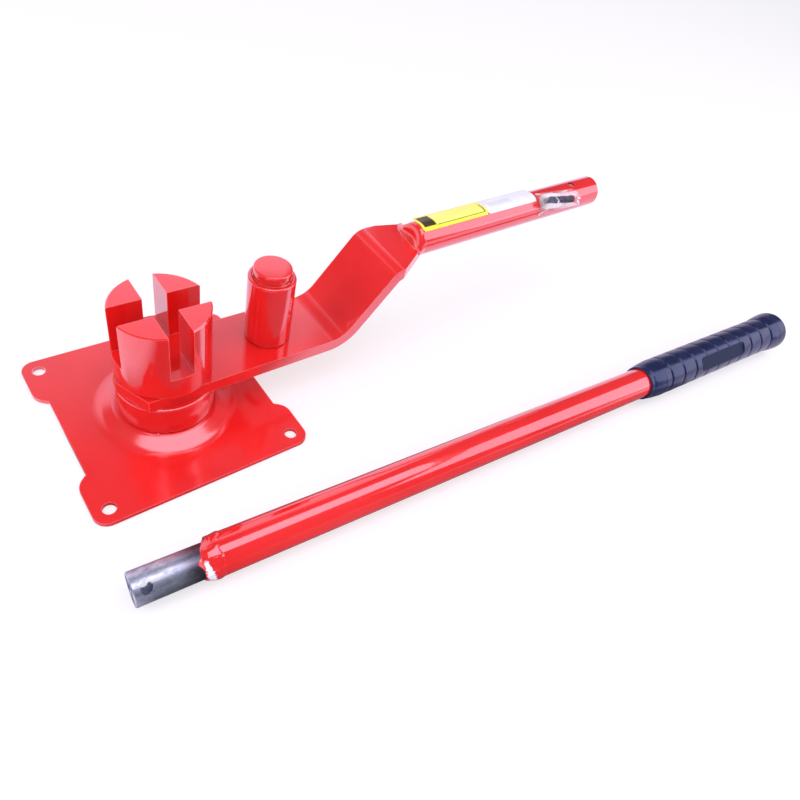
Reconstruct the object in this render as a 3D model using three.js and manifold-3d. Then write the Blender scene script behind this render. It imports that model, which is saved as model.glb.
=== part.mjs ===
// Hand bender for reinforcing bar: a square pressed foot carries a slotted bending head.
// A cranked lever with a roller turns round the head, and its loose extension handle lies beside it.
// Millimetres, +Z up. The origin is on the lever's turning axis, in the plane that the foot rests on.
// +X runs along the lever at rest, and +Y runs to the back.

import * as THREE from "three";
import { mergeVertices } from "three/addons/utils/BufferGeometryUtils.js";
import Module from "manifold-3d";

const wasm = await Module();
wasm.setup();

// Fits and fineness
const GAP = 0.3; // clearance between pieces that touch
const OVERRUN = 2; // how far a cutter runs past the faces that it cuts
const ROUND_STEPS = 48; // facets round the large turned pieces
const GRIP_STEPS = 36; // facets round the grip, which has many rings
const SMALL_ROUND_STEPS = 24; // facets round holes, bolts and necks
const BEND_STEPS = 8; // facets round one bend of the lever
const EASE_STEPS = 3; // facets across one eased edge

// Foot: one pressed sheet with four ears, a bolt hole in each, and a raised middle
const SHEET = 4;
const PLATE_SIDE = 192;
const PLATE_CORNER = 12;
const MOUNT_PITCH = 165;
const MOUNT_HOLE = 11;
const NOTCH_DEPTH = 9.5;
const NOTCH_STRAIGHT = 88;
const NOTCH_RUN = 10;
const EAR_ROUND = 4;
const DOME_FOOT_RADIUS = 58;
const DOME_TOP_RADIUS = 44;
const DOME_RISE = 6.8;
const DOME_BLEND = 5;

// Hub: stem, lower ring, and the head with its two crossed slots
const STEM_RADIUS = 18;
const STEM_SEAT = 13;
const STEM_WELD = 5;
const RING_RADIUS = 42;
const RING_HEIGHT = 30;
const EDGE_BEVEL = 1.2;
const HEAD_RADIUS = 40;
const HEAD_HEIGHT = 68.3;
const SLOT_DEPTH = 46.5;
const SLOT_TO_BACK_WIDTH = 20; // the slot that runs from front to back
const SLOT_TO_SIDE_WIDTH = 22; // the slot that runs along the lever at rest

// Lever: a flat bar with two bends, blunt at the hub and tapered at the socket tube
const BAR_WIDTH = 70;
const BAR_THICKNESS = 12;
const NOSE_REACH = 42;
const NOSE_SHOULDER = 28;
const NOSE_TIP_WIDTH = 8;
const FLAT_REACH = 150;
const LOW_BEND_RADIUS = 28; // inside radius, on the upper face
const CRANK_ANGLE = 52; // degrees
const CRANK_LENGTH = 62;
const HIGH_BEND_RADIUS = 7; // inside radius, on the lower face
const CLIMB_ANGLE = 1.5; // degrees, the slope that is left past the second bend
const TOP_LENGTH = 36.8;
const BACK_SHOULDER = 12; // how far the full width runs on past the second bend at the back
const END_FRONT_WIDTH = 12; // from the middle line to the front corner of the bar's end
const END_BACK_WIDTH = 28;

// Roller: a loose sleeve on a pin whose neck is welded into the bar
const ROLLER_REACH = 100;
const ROLLER_RADIUS = 21.2;
const SLEEVE_WALL = 3.6;
const SLEEVE_LENGTH = 68.6;
const PIN_STAND = 9.4;
const PIN_CHAMFER = 2.6;
const PIN_NECK_RADIUS = 12;
const PIN_TAIL = 3;
const PIN_WELD = 5;

// Socket tube, with its cross hole, weld and stickers
const TUBE_RADIUS = 16.85;
const TUBE_WALL = 2.6;
const SOCKET_LENGTH = 276;
const TUBE_LIFT = 7; // tube axis above the middle of the bar
const LOCK_HOLE = 9;
const LOCK_REACH = 40; // from the mouth of the socket, and from the spigot's weld bead, to the cross hole
const WELD_REACH = 15; // from the end of the tube to the weld's toe on the bar
const WELD_TOE = 15; // half the toe's width
const WELD_CROWN = 0.7; // how far the weld stands proud of the tube
const FILM = 0.3;
const YELLOW_START = 4;
const YELLOW_LENGTH = 87;
const WHITE_LENGTH = 76;
const LABEL_GAP = 0.6;
const LABEL_FRONT_ANGLE = 28; // degrees from the top of the tube towards the front
const LABEL_LIFT_ANGLE = 10; // the same towards the back, where the stickers come away from the tube
const LABEL_FLAP = 9.5; // width of the strip that stands off straight

// Locking bolt and nut in their clear bag on the side of the socket tube
const BAG_GAP = 1.5;
const BAG_LENGTH = 64;
const BAG_TOP_ANGLE = 14;
const BAG_FOOT_ANGLE = 96;
const BAG_PLAY = 0.7;
const BOLT_ANGLE = 52; // degrees from the top of the tube towards the front
const BOLT_SKEW = 7; // degrees, how far the bolt has slipped across the tube
const BOLT_START = 5; // from the start of the bag to the bolt's head
const BOLT_RADIUS = 4;
const BOLT_LENGTH = 40;
const BOLT_HEAD = 5.3;
const HEX_WIDTH = 13; // across flats
const NUT_HEIGHT = 6.5;

// Extension handle: a bare spigot welded into a tube of the socket's size, with a long ribbed grip
const SPIGOT_RADIUS = 13.45;
const SPIGOT_WALL = 3;
const SPIGOT_STAND = 58;
const SPIGOT_HELD = 60;
const SPIGOT_BEVEL = 1;
const SPIGOT_HOLE_TURN = 40; // degrees from the top towards the front
const BEAD_LENGTH = 8;
const BEAD_LIP = 2;
const BEAD_CROWN = 0.45;
const BEAD_ROUND = 1.5;
const HANDLE_LENGTH = 752;
const GRIP_LENGTH = 273;
const GRIP_END_WALL = 21.7; // solid end of the grip, past the end of the tube
const GRIP_LIP = 2.2;
const GRIP_BODY_RADIUS = 21.6;
const GRIP_WAIST_RADIUS = 22;
const GRIP_FLARE_RADIUS = 24.5;
const GRIP_SHOULDER = 26;
const GRIP_END_ROUND = 4;
const GROOVES = 10;
const GROOVE_START = 34; // from the grip's mouth to its first groove
const GROOVE_END = 32.9; // from its last groove to its closed end
const GROOVE_WIDTH = 2.4;
const GROOVE_DEPTH = 1;
const RECESS_START = 90;
const RECESS_LENGTH = 88;
const RECESS_WIDTH = 17;
const RECESS_DEPTH = 2;
const RECESS_TURN = 50; // degrees from the top towards the front
const HANDLE_SIDE = -166; // where the mouth of the handle tube lies, to the front of the hub
const HANDLE_BEHIND = 38.8; // and how far behind the hub's axis
const HANDLE_YAW = -5.2; // degrees

// Heights that follow from the stack on the foot
const ringFoot = SHEET + DOME_RISE + GAP;
const barFoot = ringFoot + RING_HEIGHT + GAP;
const barTop = barFoot + BAR_THICKNESS;
const headFoot = barTop + GAP;
const headTop = headFoot + HEAD_HEIGHT;
const slotFloor = headTop - SLOT_DEPTH;
const sleeveFoot = barTop + GAP;
const sleeveTop = sleeveFoot + SLEEVE_LENGTH;
const pinRadius = ROLLER_RADIUS - SLEEVE_WALL - GAP;
const boreRadius = TUBE_RADIUS - TUBE_WALL;
const gripBore = GRIP_LENGTH - GRIP_END_WALL;
const gripStart = HANDLE_LENGTH + GAP - gripBore;
const lastGroove = GRIP_LENGTH - GROOVE_END;
const groovePitch = (lastGroove - GROOVE_START) / (GROOVES - 1);
const yellowEnd = YELLOW_START + YELLOW_LENGTH;
const whiteEnd = yellowEnd + LABEL_GAP + WHITE_LENGTH;
const bagStart = whiteEnd + BAG_GAP;

const radians = THREE.MathUtils.degToRad;

// Finishes
const paint = () => new THREE.MeshStandardMaterial({ color: 0xf2312f, roughness: 0.28, metalness: 0.0 });
const bareSteel = () => new THREE.MeshStandardMaterial({ color: 0xb4b6c6, roughness: 0.35, metalness: 1.0 });
const darkSteel = () => new THREE.MeshStandardMaterial({ color: 0x2a3040, roughness: 0.4, metalness: 0.9 });
const rubber = () => new THREE.MeshStandardMaterial({ color: 0x25274a, roughness: 0.5, metalness: 0.0 });
const yellowFilm = () => new THREE.MeshStandardMaterial({ color: 0xf7ea3c, roughness: 0.35, metalness: 0.0 });
const whiteFilm = () => new THREE.MeshStandardMaterial({ color: 0xf6f6f4, roughness: 0.4, metalness: 0.0 });
const clearFilm = () => {
  const film = new THREE.MeshStandardMaterial({ color: 0xf4f6fa, roughness: 0.1, metalness: 0.0 });
  film.transparent = true;
  film.opacity = 0.3;
  return film;
};

// A closed geometry as a solid that can be cut and joined
function solid(geometry) {
  const bare = geometry.clone();
  bare.deleteAttribute("normal");
  bare.deleteAttribute("uv");
  const merged = mergeVertices(bare);
  return new wasm.Manifold(
    new wasm.Mesh({
      numProp: 3,
      vertProperties: new Float32Array(merged.attributes.position.array),
      triVerts: new Uint32Array(merged.index.array),
    }),
  );
}

// A solid back as a geometry
function geometryOf(body) {
  const mesh = body.getMesh();
  const geometry = new THREE.BufferGeometry();
  geometry.setAttribute("position", new THREE.BufferAttribute(new Float32Array(mesh.vertProperties), 3));
  geometry.setIndex(new THREE.BufferAttribute(new Uint32Array(mesh.triVerts), 1));
  geometry.computeVertexNormals();
  return geometry;
}

// Turned piece about Z from [radius, height] pairs; one with a bore closes on itself
function turned(profile, steps = ROUND_STEPS) {
  const points = profile.map(([radius, height]) => new THREE.Vector2(radius, height));
  const [first] = points;
  if (first.x > 0) {
    points.push(first.clone());
  }
  const geometry = new THREE.LatheGeometry(points, steps);
  geometry.rotateX(Math.PI / 2);
  return geometry;
}

// Turned piece laid along X, so that a height in its profile is a distance along X
function turnedAlongX(profile, steps = ROUND_STEPS) {
  return turned(profile, steps).rotateY(Math.PI / 2);
}

// Solid rod along X between two places
function rodAlongX(radius, from, to, steps) {
  return solid(turnedAlongX([[0, from], [radius, from], [radius, to], [0, to]], steps));
}

// Flat shape given as x and y, raised to a thickness along Z
function raised(shape, foot, thickness) {
  const options = { depth: thickness, bevelEnabled: false, curveSegments: BEND_STEPS };
  return new THREE.ExtrudeGeometry(shape, options).translate(0, 0, foot);
}

// Section given as y and z, drawn out along +X
function drawnAlongX(shape, start, length) {
  const turn = new THREE.Matrix4().set(0, 0, 1, 0, 1, 0, 0, 0, 0, 1, 0, 0, 0, 0, 0, 1);
  return raised(shape, start, length).applyMatrix4(turn);
}

// Section given as x and z, drawn out to both sides along Y
function drawnAlongY(shape, width) {
  return raised(shape, -width / 2, width).rotateX(Math.PI / 2);
}

// Round cutter along Z between two heights
function drill(radius, foot, top, steps = SMALL_ROUND_STEPS) {
  return solid(turned([[0, foot], [radius, foot], [radius, top], [0, top]], steps));
}

function outline(points) {
  return new THREE.Shape(points.map(([x, y]) => new THREE.Vector2(x, y)));
}

// A point at a radius round the X axis, its angle taken from the top towards the front
function roundTube(radius, angle) {
  return [-radius * Math.sin(angle), radius * Math.cos(angle)];
}

// Part of a tube's wall between two angles from the top towards the front, as a section
function wallSection(inner, outer, fromAngle, toAngle) {
  const steps = Array.from({ length: BEND_STEPS + 1 }, (_, i) => i / BEND_STEPS);
  const angles = steps.map((share) => fromAngle + share * (toAngle - fromAngle));
  const outside = angles.map((angle) => roundTube(outer, angle));
  const inside = angles.map((angle) => roundTube(inner, angle)).reverse();
  return outline([...outside, ...inside]);
}

// Height of the pressed middle above the flat sheet at a radius, with both edges of its flank eased
function pressHeights() {
  const slope = DOME_RISE / (DOME_FOOT_RADIUS - DOME_TOP_RADIUS);
  const ease = (radius, before, after) =>
    new THREE.QuadraticBezierCurve(before, new THREE.Vector2(...radius), after).getPoints(EASE_STEPS);
  const foot = ease(
    [DOME_FOOT_RADIUS, 0],
    new THREE.Vector2(DOME_FOOT_RADIUS + DOME_BLEND, 0),
    new THREE.Vector2(DOME_FOOT_RADIUS - DOME_BLEND, DOME_BLEND * slope),
  );
  const top = ease(
    [DOME_TOP_RADIUS, DOME_RISE],
    new THREE.Vector2(DOME_TOP_RADIUS + DOME_BLEND / 2, DOME_RISE - (DOME_BLEND / 2) * slope),
    new THREE.Vector2(DOME_TOP_RADIUS - DOME_BLEND / 2, DOME_RISE),
  );
  return [...foot, ...top].map((point) => [point.x, point.y]);
}

// One half of the foot's outline is the other half turned by half a turn
function plateOutline() {
  const half = PLATE_SIDE / 2;
  const inner = half - NOTCH_DEPTH;
  const straight = NOTCH_STRAIGHT / 2;
  const earEnd = straight + NOTCH_RUN;
  const round = EAR_ROUND;
  const shape = new THREE.Shape();
  for (const side of [1, -1]) {
    const start = new THREE.Vector2(side * inner, -side * straight);
    if (side > 0) {
      shape.moveTo(start.x, start.y);
    } else {
      shape.lineTo(start.x, start.y);
    }
    shape.lineTo(side * inner, side * straight);
    shape.quadraticCurveTo(side * half, side * (earEnd - round), side * half, side * (earEnd + round));
    shape.lineTo(side * half, side * (half - PLATE_CORNER));
    const from = side > 0 ? 0 : Math.PI;
    const corner = half - PLATE_CORNER;
    shape.absarc(side * corner, side * corner, PLATE_CORNER, from, from + Math.PI / 2, false);
    shape.absarc(-side * corner, side * corner, PLATE_CORNER, from + Math.PI / 2, from + Math.PI, false);
    shape.lineTo(-side * half, side * (earEnd + round));
    shape.quadraticCurveTo(-side * half, side * (earEnd - round), -side * inner, side * straight);
  }
  return shape;
}

function footPlate() {
  const heights = pressHeights();
  const [rim] = heights;
  const above = [
    [0, SHEET / 2],
    [rim[0], SHEET / 2],
    ...heights.map(([radius, height]) => [radius, SHEET + height]),
    [0, SHEET + DOME_RISE],
  ];
  const below = [[0, -OVERRUN], [rim[0], -OVERRUN], ...heights, [0, DOME_RISE]];
  let plate = solid(raised(plateOutline(), 0, SHEET));
  plate = plate.add(solid(turned(above)));
  plate = plate.subtract(solid(turned(below)));
  plate = plate.subtract(drill(STEM_RADIUS + GAP, -OVERRUN, ringFoot + OVERRUN, ROUND_STEPS));
  const place = MOUNT_PITCH / 2;
  for (const x of [-place, place]) {
    for (const y of [-place, place]) {
      plate = plate.subtract(drill(MOUNT_HOLE / 2, -OVERRUN, SHEET + OVERRUN).translate([x, y, 0]));
    }
  }
  return geometryOf(plate);
}

function hubStem() {
  const top = headFoot + STEM_SEAT - GAP;
  return turned([[0, 0], [STEM_RADIUS, 0], [STEM_RADIUS, top], [0, top]]);
}

function stemWeld() {
  const inner = STEM_RADIUS + GAP;
  const top = DOME_RISE - GAP;
  return turned([[inner, top - STEM_WELD], [inner + STEM_WELD, top], [inner, top]]);
}

function lowerRing() {
  const inner = STEM_RADIUS + GAP;
  const top = ringFoot + RING_HEIGHT;
  return turned([
    [inner, ringFoot],
    [RING_RADIUS - EDGE_BEVEL, ringFoot],
    [RING_RADIUS, ringFoot + EDGE_BEVEL],
    [RING_RADIUS, top - EDGE_BEVEL],
    [RING_RADIUS - EDGE_BEVEL, top],
    [inner, top],
  ]);
}

// The head is a turned block; two slots cross in it and leave four prongs over a solid foot
function slottedHead() {
  const block = turned([
    [0, headFoot],
    [HEAD_RADIUS - EDGE_BEVEL, headFoot],
    [HEAD_RADIUS, headFoot + EDGE_BEVEL],
    [HEAD_RADIUS, headTop - EDGE_BEVEL],
    [HEAD_RADIUS - EDGE_BEVEL, headTop],
    [0, headTop],
  ]);
  const across = 2 * (HEAD_RADIUS + OVERRUN);
  const depth = SLOT_DEPTH + OVERRUN;
  const middle = slotFloor + depth / 2;
  const toBack = new THREE.BoxGeometry(SLOT_TO_BACK_WIDTH, across, depth).translate(0, 0, middle);
  const toSide = new THREE.BoxGeometry(across, SLOT_TO_SIDE_WIDTH, depth).translate(0, 0, middle);
  const seat = drill(STEM_RADIUS + GAP, headFoot - OVERRUN, headFoot + STEM_SEAT, ROUND_STEPS);
  return geometryOf(solid(block).subtract(solid(toBack)).subtract(solid(toSide)).subtract(seat));
}

// Middle line of the bar in the plane of the lever: [x, z, angle] from the nose to the socket tube
function barLine() {
  const crank = radians(CRANK_ANGLE);
  const climb = radians(CLIMB_ANGLE);
  const half = BAR_THICKNESS / 2;
  const line = [];
  let [x, z, angle] = [-NOSE_REACH, barFoot + half, 0];
  const forward = (distance) => {
    x += distance * Math.cos(angle);
    z += distance * Math.sin(angle);
    line.push([x, z, angle]);
  };
  const bend = (radius, turn) => {
    const step = turn / BEND_STEPS;
    const chord = 2 * radius * Math.sin(Math.abs(step) / 2);
    for (let i = 0; i < BEND_STEPS; i += 1) {
      x += chord * Math.cos(angle + step / 2);
      z += chord * Math.sin(angle + step / 2);
      angle += step;
      line.push([x, z, angle]);
    }
  };
  forward(0);
  forward(NOSE_REACH + FLAT_REACH);
  bend(LOW_BEND_RADIUS + half, crank);
  forward(CRANK_LENGTH);
  bend(HIGH_BEND_RADIUS + half, climb - crank);
  const shoulder = x;
  forward(TOP_LENGTH);
  return { line, shoulder, end: [x, z], climb };
}

const bar = barLine();

// The bar from above: blunt nose, straight sides, and an oblique cut that is longer at the front
function barPlan(spare) {
  const side = BAR_WIDTH / 2 + spare;
  const nose = -NOSE_REACH - spare;
  const tip = NOSE_TIP_WIDTH / 2 + spare;
  const [end] = bar.end;
  return outline([
    [nose, -tip],
    [-NOSE_SHOULDER - spare, -side],
    [bar.shoulder + spare, -side],
    [end + OVERRUN, -END_FRONT_WIDTH - spare],
    [end + OVERRUN, END_BACK_WIDTH + spare],
    [bar.shoulder + BACK_SHOULDER + spare, side],
    [-NOSE_SHOULDER - spare, side],
    [nose, tip],
  ]);
}

// The bar from the side, thickened by a spare amount on each face
function barSide(spare) {
  const reach = BAR_THICKNESS / 2 + spare;
  const upper = bar.line.map(([x, z, angle]) => [x - reach * Math.sin(angle), z + reach * Math.cos(angle)]);
  const lower = bar.line.map(([x, z, angle]) => [x + reach * Math.sin(angle), z - reach * Math.cos(angle)]);
  return outline([...upper, ...lower.reverse()]);
}

function barBody(spare) {
  const across = BAR_WIDTH + 2 * (spare + OVERRUN);
  const side = solid(drawnAlongY(barSide(spare), across));
  return side.intersect(solid(raised(barPlan(spare), 0, headTop + BAR_WIDTH)));
}

function leverBar() {
  const eye = drill(STEM_RADIUS + GAP, barFoot - OVERRUN, barTop + OVERRUN, ROUND_STEPS);
  const seat = drill(PIN_NECK_RADIUS + GAP, barFoot - OVERRUN, barTop + OVERRUN);
  return geometryOf(barBody(0).subtract(eye).subtract(seat.translate([ROLLER_REACH, 0, 0])));
}

// The pin's thick part fills the sleeve; its neck goes down through the bar
function rollerPin() {
  const top = sleeveTop + PIN_STAND;
  return turned([
    [0, barFoot - PIN_TAIL],
    [PIN_NECK_RADIUS, barFoot - PIN_TAIL],
    [PIN_NECK_RADIUS, sleeveFoot],
    [pinRadius, sleeveFoot],
    [pinRadius, top - PIN_CHAMFER],
    [pinRadius - PIN_CHAMFER, top],
    [0, top],
  ]);
}

function pinWeld() {
  const inner = PIN_NECK_RADIUS + GAP;
  const top = barFoot - GAP;
  return turned([[inner, top - PIN_TAIL + GAP], [inner + PIN_WELD, top], [inner, top]]);
}

function rollerSleeve() {
  const inner = pinRadius + GAP;
  return turned([
    [inner, sleeveFoot],
    [ROLLER_RADIUS - EDGE_BEVEL, sleeveFoot],
    [ROLLER_RADIUS, sleeveFoot + EDGE_BEVEL],
    [ROLLER_RADIUS, sleeveTop - EDGE_BEVEL],
    [ROLLER_RADIUS - EDGE_BEVEL, sleeveTop],
    [inner, sleeveTop],
  ]);
}

// Socket tube along X from the bar's end, its mouth open and a cross hole through both walls
function socketTube() {
  const tube = turnedAlongX([
    [boreRadius, 0],
    [TUBE_RADIUS, 0],
    [TUBE_RADIUS, SOCKET_LENGTH],
    [boreRadius, SOCKET_LENGTH],
  ]);
  const hole = drill(LOCK_HOLE / 2, -TUBE_RADIUS - OVERRUN, TUBE_RADIUS + OVERRUN);
  return geometryOf(solid(tube).subtract(hole.translate([SOCKET_LENGTH - LOCK_REACH, 0, 0])));
}

// Weld that closes the end of the tube, slopes down to the bar and runs down the bar's front corner
function socketWeld() {
  const crown = TUBE_RADIUS + WELD_CROWN;
  const barFace = BAR_THICKNESS / 2 - TUBE_LIFT;
  const angles = Array.from({ length: ROUND_STEPS }, (_, i) => (i * 2 * Math.PI) / ROUND_STEPS);
  const rim = angles.map((angle) => [-GAP, ...roundTube(crown, angle)]);
  const toe = [[-WELD_REACH, -WELD_TOE, barFace], [-WELD_REACH, WELD_TOE, barFace]];
  const slope = wasm.Manifold.hull([...rim, ...toe]);
  const height = BAR_THICKNESS - barFace + crown + OVERRUN;
  const aboveFoot = new THREE.BoxGeometry(2 * WELD_REACH, 2 * crown + OVERRUN, height);
  aboveFoot.translate(0, 0, height / 2 + barFace - BAR_THICKNESS);
  const toBar = [-bar.end[0] - GAP, 0, -bar.end[1]];
  const barEnd = barBody(GAP).translate(toBar).rotate([0, CLIMB_ANGLE, 0]).translate([0, 0, -TUBE_LIFT]);
  return geometryOf(slope.intersect(solid(aboveFoot)).subtract(barEnd));
}

// A sticker wraps the top of the tube, and its back edge has come away and stands off straight
function label(start, length) {
  const inner = TUBE_RADIUS + GAP;
  const lift = radians(LABEL_LIFT_ANGLE);
  const front = radians(LABEL_FRONT_ANGLE);
  const flap = (radius) => {
    const [y, z] = roundTube(radius, -lift);
    return [y + LABEL_FLAP * Math.cos(lift), z - LABEL_FLAP * Math.sin(lift)];
  };
  const angles = Array.from({ length: BEND_STEPS + 1 }, (_, i) => -lift + ((front + lift) * i) / BEND_STEPS);
  const outer = angles.map((angle) => roundTube(inner + FILM, angle));
  const under = angles.map((angle) => roundTube(inner, angle));
  return drawnAlongX(outline([flap(inner + FILM), ...outer, ...under.reverse(), flap(inner)]), start, length);
}

// The bolt is drawn along X about its own middle, then laid on the side of the tube, a little askew
const boltMiddle = (BOLT_HEAD + BOLT_LENGTH) / 2;
const boltPlace = [boltMiddle + BOLT_START, ...roundTube(TUBE_RADIUS + GAP + HEX_WIDTH / 2, radians(BOLT_ANGLE))];

// Hexagon round the X axis, one flat towards the tube
function hexagon(start, length) {
  const corner = HEX_WIDTH / Math.sqrt(3);
  const angles = Array.from({ length: 6 }, (_, i) => ((i + 0.5) * Math.PI) / 3);
  return drawnAlongX(outline(angles.map((angle) => roundTube(corner, angle))), start - boltMiddle, length);
}

function lockingBolt() {
  const shank = rodAlongX(BOLT_RADIUS, -boltMiddle, boltMiddle, SMALL_ROUND_STEPS);
  return geometryOf(shank.add(solid(hexagon(0, BOLT_HEAD))));
}

function lockingNut() {
  const start = BOLT_HEAD + GAP;
  const bore = rodAlongX(BOLT_RADIUS + GAP, -boltMiddle, boltMiddle, SMALL_ROUND_STEPS);
  return geometryOf(solid(hexagon(start, NUT_HEIGHT)).subtract(bore));
}

// A rod round the bolt's axis, as long as the bag and a spare amount at both ends
function rodRoundBolt(radius, spare) {
  const [along] = boltPlace;
  const rod = rodAlongX(radius, -along - spare, BAG_LENGTH - along + spare, SMALL_ROUND_STEPS);
  return rod.rotate([0, 0, -BOLT_SKEW]).rotate([BOLT_ANGLE, 0, 0]).translate(boltPlace);
}

// Film that lies on the tube and arches over the bolt, open at both ends
function clearBag() {
  const inner = TUBE_RADIUS + GAP;
  const arch = HEX_WIDTH / Math.sqrt(3) + BAG_PLAY;
  const skin = wallSection(inner / 2, inner + FILM, radians(BAG_TOP_ANGLE), radians(BAG_FOOT_ANGLE));
  const film = solid(drawnAlongX(skin, 0, BAG_LENGTH)).add(rodRoundBolt(arch + FILM, 0));
  const tube = rodAlongX(inner, -OVERRUN - arch, BAG_LENGTH + OVERRUN + arch, ROUND_STEPS);
  return geometryOf(film.subtract(rodRoundBolt(arch, OVERRUN)).subtract(tube));
}

// Bare tube with a cross hole near its free end, held in the handle tube's mouth at X zero
function handleSpigot() {
  const inner = SPIGOT_RADIUS - SPIGOT_WALL;
  const tube = turnedAlongX([
    [inner, -SPIGOT_STAND],
    [SPIGOT_RADIUS - SPIGOT_BEVEL, -SPIGOT_STAND],
    [SPIGOT_RADIUS, -SPIGOT_STAND + SPIGOT_BEVEL],
    [SPIGOT_RADIUS, SPIGOT_HELD],
    [inner, SPIGOT_HELD],
  ]);
  const hole = drill(LOCK_HOLE / 2, -SPIGOT_RADIUS - OVERRUN, SPIGOT_RADIUS + OVERRUN);
  const turn = hole.rotate([SPIGOT_HOLE_TURN, 0, 0]).translate([-BEAD_LENGTH - LOCK_REACH, 0, 0]);
  return geometryOf(solid(tube).subtract(turn));
}

const beadRadius = TUBE_RADIUS + BEAD_CROWN;

// Weld bead that swells from the spigot to the mouth of the handle tube
function spigotWeld() {
  const inner = SPIGOT_RADIUS + GAP;
  return turnedAlongX([
    [inner, -BEAD_LENGTH],
    [inner + BEAD_LIP - GAP, -BEAD_LENGTH],
    [inner + BEAD_LIP, -BEAD_LENGTH + BEAD_ROUND],
    [beadRadius - GAP, -BEAD_LENGTH / 2],
    [beadRadius, -BEAD_ROUND],
    [beadRadius, -GAP],
    [inner, -GAP],
  ]);
}

function handleTube() {
  return turnedAlongX([
    [boreRadius, 0],
    [TUBE_RADIUS, 0],
    [TUBE_RADIUS, HANDLE_LENGTH],
    [boreRadius, HANDLE_LENGTH],
  ]);
}

// Outer radius of the grip at a distance from its open end, before its grooves are cut
function gripRadius(along) {
  if (along < GRIP_SHOULDER) {
    const share = along / GRIP_SHOULDER;
    const lip = TUBE_RADIUS + GRIP_LIP;
    return lip + (GRIP_BODY_RADIUS - lip) * Math.sin((share * Math.PI) / 2);
  }
  if (along < lastGroove) {
    const share = (along - GRIP_SHOULDER) / (lastGroove - GRIP_SHOULDER);
    return GRIP_BODY_RADIUS + (GRIP_WAIST_RADIUS - GRIP_BODY_RADIUS) * share;
  }
  const share = Math.min(1, (along - lastGroove) / (GRIP_LENGTH - GRIP_END_ROUND - lastGroove));
  return GRIP_WAIST_RADIUS + (GRIP_FLARE_RADIUS - GRIP_WAIST_RADIUS) * Math.sin((share * Math.PI) / 2);
}

// Outline of the grip's outside: swelling lip, grooves at a steady pitch, flare and rounded end
function gripProfile() {
  const points = [[gripRadius(0) - GRIP_LIP / 2, 0]];
  for (let i = 1; i <= EASE_STEPS; i += 1) {
    const along = (GRIP_SHOULDER * i) / EASE_STEPS;
    points.push([gripRadius(along), along]);
  }
  for (let i = 0; i < GROOVES; i += 1) {
    const middle = GROOVE_START + i * groovePitch;
    points.push([gripRadius(middle - GROOVE_WIDTH / 2), middle - GROOVE_WIDTH / 2]);
    points.push([gripRadius(middle) - GROOVE_DEPTH, middle]);
    points.push([gripRadius(middle + GROOVE_WIDTH / 2), middle + GROOVE_WIDTH / 2]);
  }
  const straightEnd = GRIP_LENGTH - GRIP_END_ROUND;
  const flareMiddle = lastGroove + groovePitch / 2;
  points.push([gripRadius(flareMiddle), flareMiddle]);
  for (let i = 0; i <= EASE_STEPS; i += 1) {
    const angle = (i / EASE_STEPS) * (Math.PI / 2);
    const radius = GRIP_FLARE_RADIUS - GRIP_END_ROUND + GRIP_END_ROUND * Math.cos(angle);
    points.push([radius, straightEnd + GRIP_END_ROUND * Math.sin(angle)]);
  }
  return points;
}

// Flat-bottomed recess with round ends, sunk into the side of the grip
function gripRecess() {
  const radius = RECESS_WIDTH / 2;
  const reach = RECESS_LENGTH / 2 - radius;
  const shape = new THREE.Shape();
  shape.absarc(reach, 0, radius, -Math.PI / 2, Math.PI / 2, false);
  shape.absarc(-reach, 0, radius, Math.PI / 2, (3 * Math.PI) / 2, false);
  const floor = GRIP_WAIST_RADIUS - RECESS_DEPTH;
  const cutter = solid(raised(shape, floor, GRIP_FLARE_RADIUS));
  return cutter.rotate([RECESS_TURN, 0, 0]).translate([RECESS_START + RECESS_LENGTH / 2, 0, 0]);
}

function handleGrip() {
  const inner = TUBE_RADIUS + GAP;
  const profile = [[0, gripBore], [inner, gripBore], [inner, 0], ...gripProfile(), [0, GRIP_LENGTH]];
  const sleeve = turnedAlongX(profile, GRIP_STEPS);
  return geometryOf(solid(sleeve).subtract(gripRecess()));
}

function piece(name, geometry, material) {
  const mesh = new THREE.Mesh(geometry, material);
  mesh.name = name;
  return mesh;
}

function base() {
  const group = new THREE.Group();
  group.add(piece("foot_plate", footPlate(), paint()));
  group.add(piece("hub_stem", hubStem(), bareSteel()));
  group.add(piece("hub_stem_weld", stemWeld(), paint()));
  group.add(piece("lower_ring", lowerRing(), paint()));
  group.add(piece("slotted_head", slottedHead(), paint()));
  return group;
}

function roller() {
  const group = new THREE.Group();
  group.position.x = ROLLER_REACH;
  group.add(piece("roller_pin", rollerPin(), paint()));
  group.add(piece("roller_pin_weld", pinWeld(), paint()));
  group.add(piece("roller_sleeve", rollerSleeve(), paint()));
  return group;
}

function lockingSet() {
  const group = new THREE.Group();
  group.position.set(...boltPlace);
  group.rotation.set(radians(BOLT_ANGLE), 0, -radians(BOLT_SKEW));
  group.add(piece("locking_bolt", lockingBolt(), darkSteel()));
  group.add(piece("locking_nut", lockingNut(), darkSteel()));
  return group;
}

function socket() {
  const group = new THREE.Group();
  const [x, z] = bar.end;
  group.position.set(x, 0, z);
  group.rotation.y = -bar.climb;
  const onAxis = new THREE.Group();
  onAxis.position.set(GAP, 0, TUBE_LIFT);
  const packet = new THREE.Group();
  packet.position.x = bagStart;
  packet.add(piece("bolt_bag", clearBag(), clearFilm()));
  packet.add(lockingSet());
  onAxis.add(piece("socket_tube", socketTube(), paint()));
  onAxis.add(piece("socket_weld", socketWeld(), paint()));
  onAxis.add(piece("yellow_label", label(YELLOW_START, YELLOW_LENGTH), yellowFilm()));
  onAxis.add(piece("white_label", label(yellowEnd + LABEL_GAP, WHITE_LENGTH), whiteFilm()));
  onAxis.add(packet);
  group.add(onAxis);
  return group;
}

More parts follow.
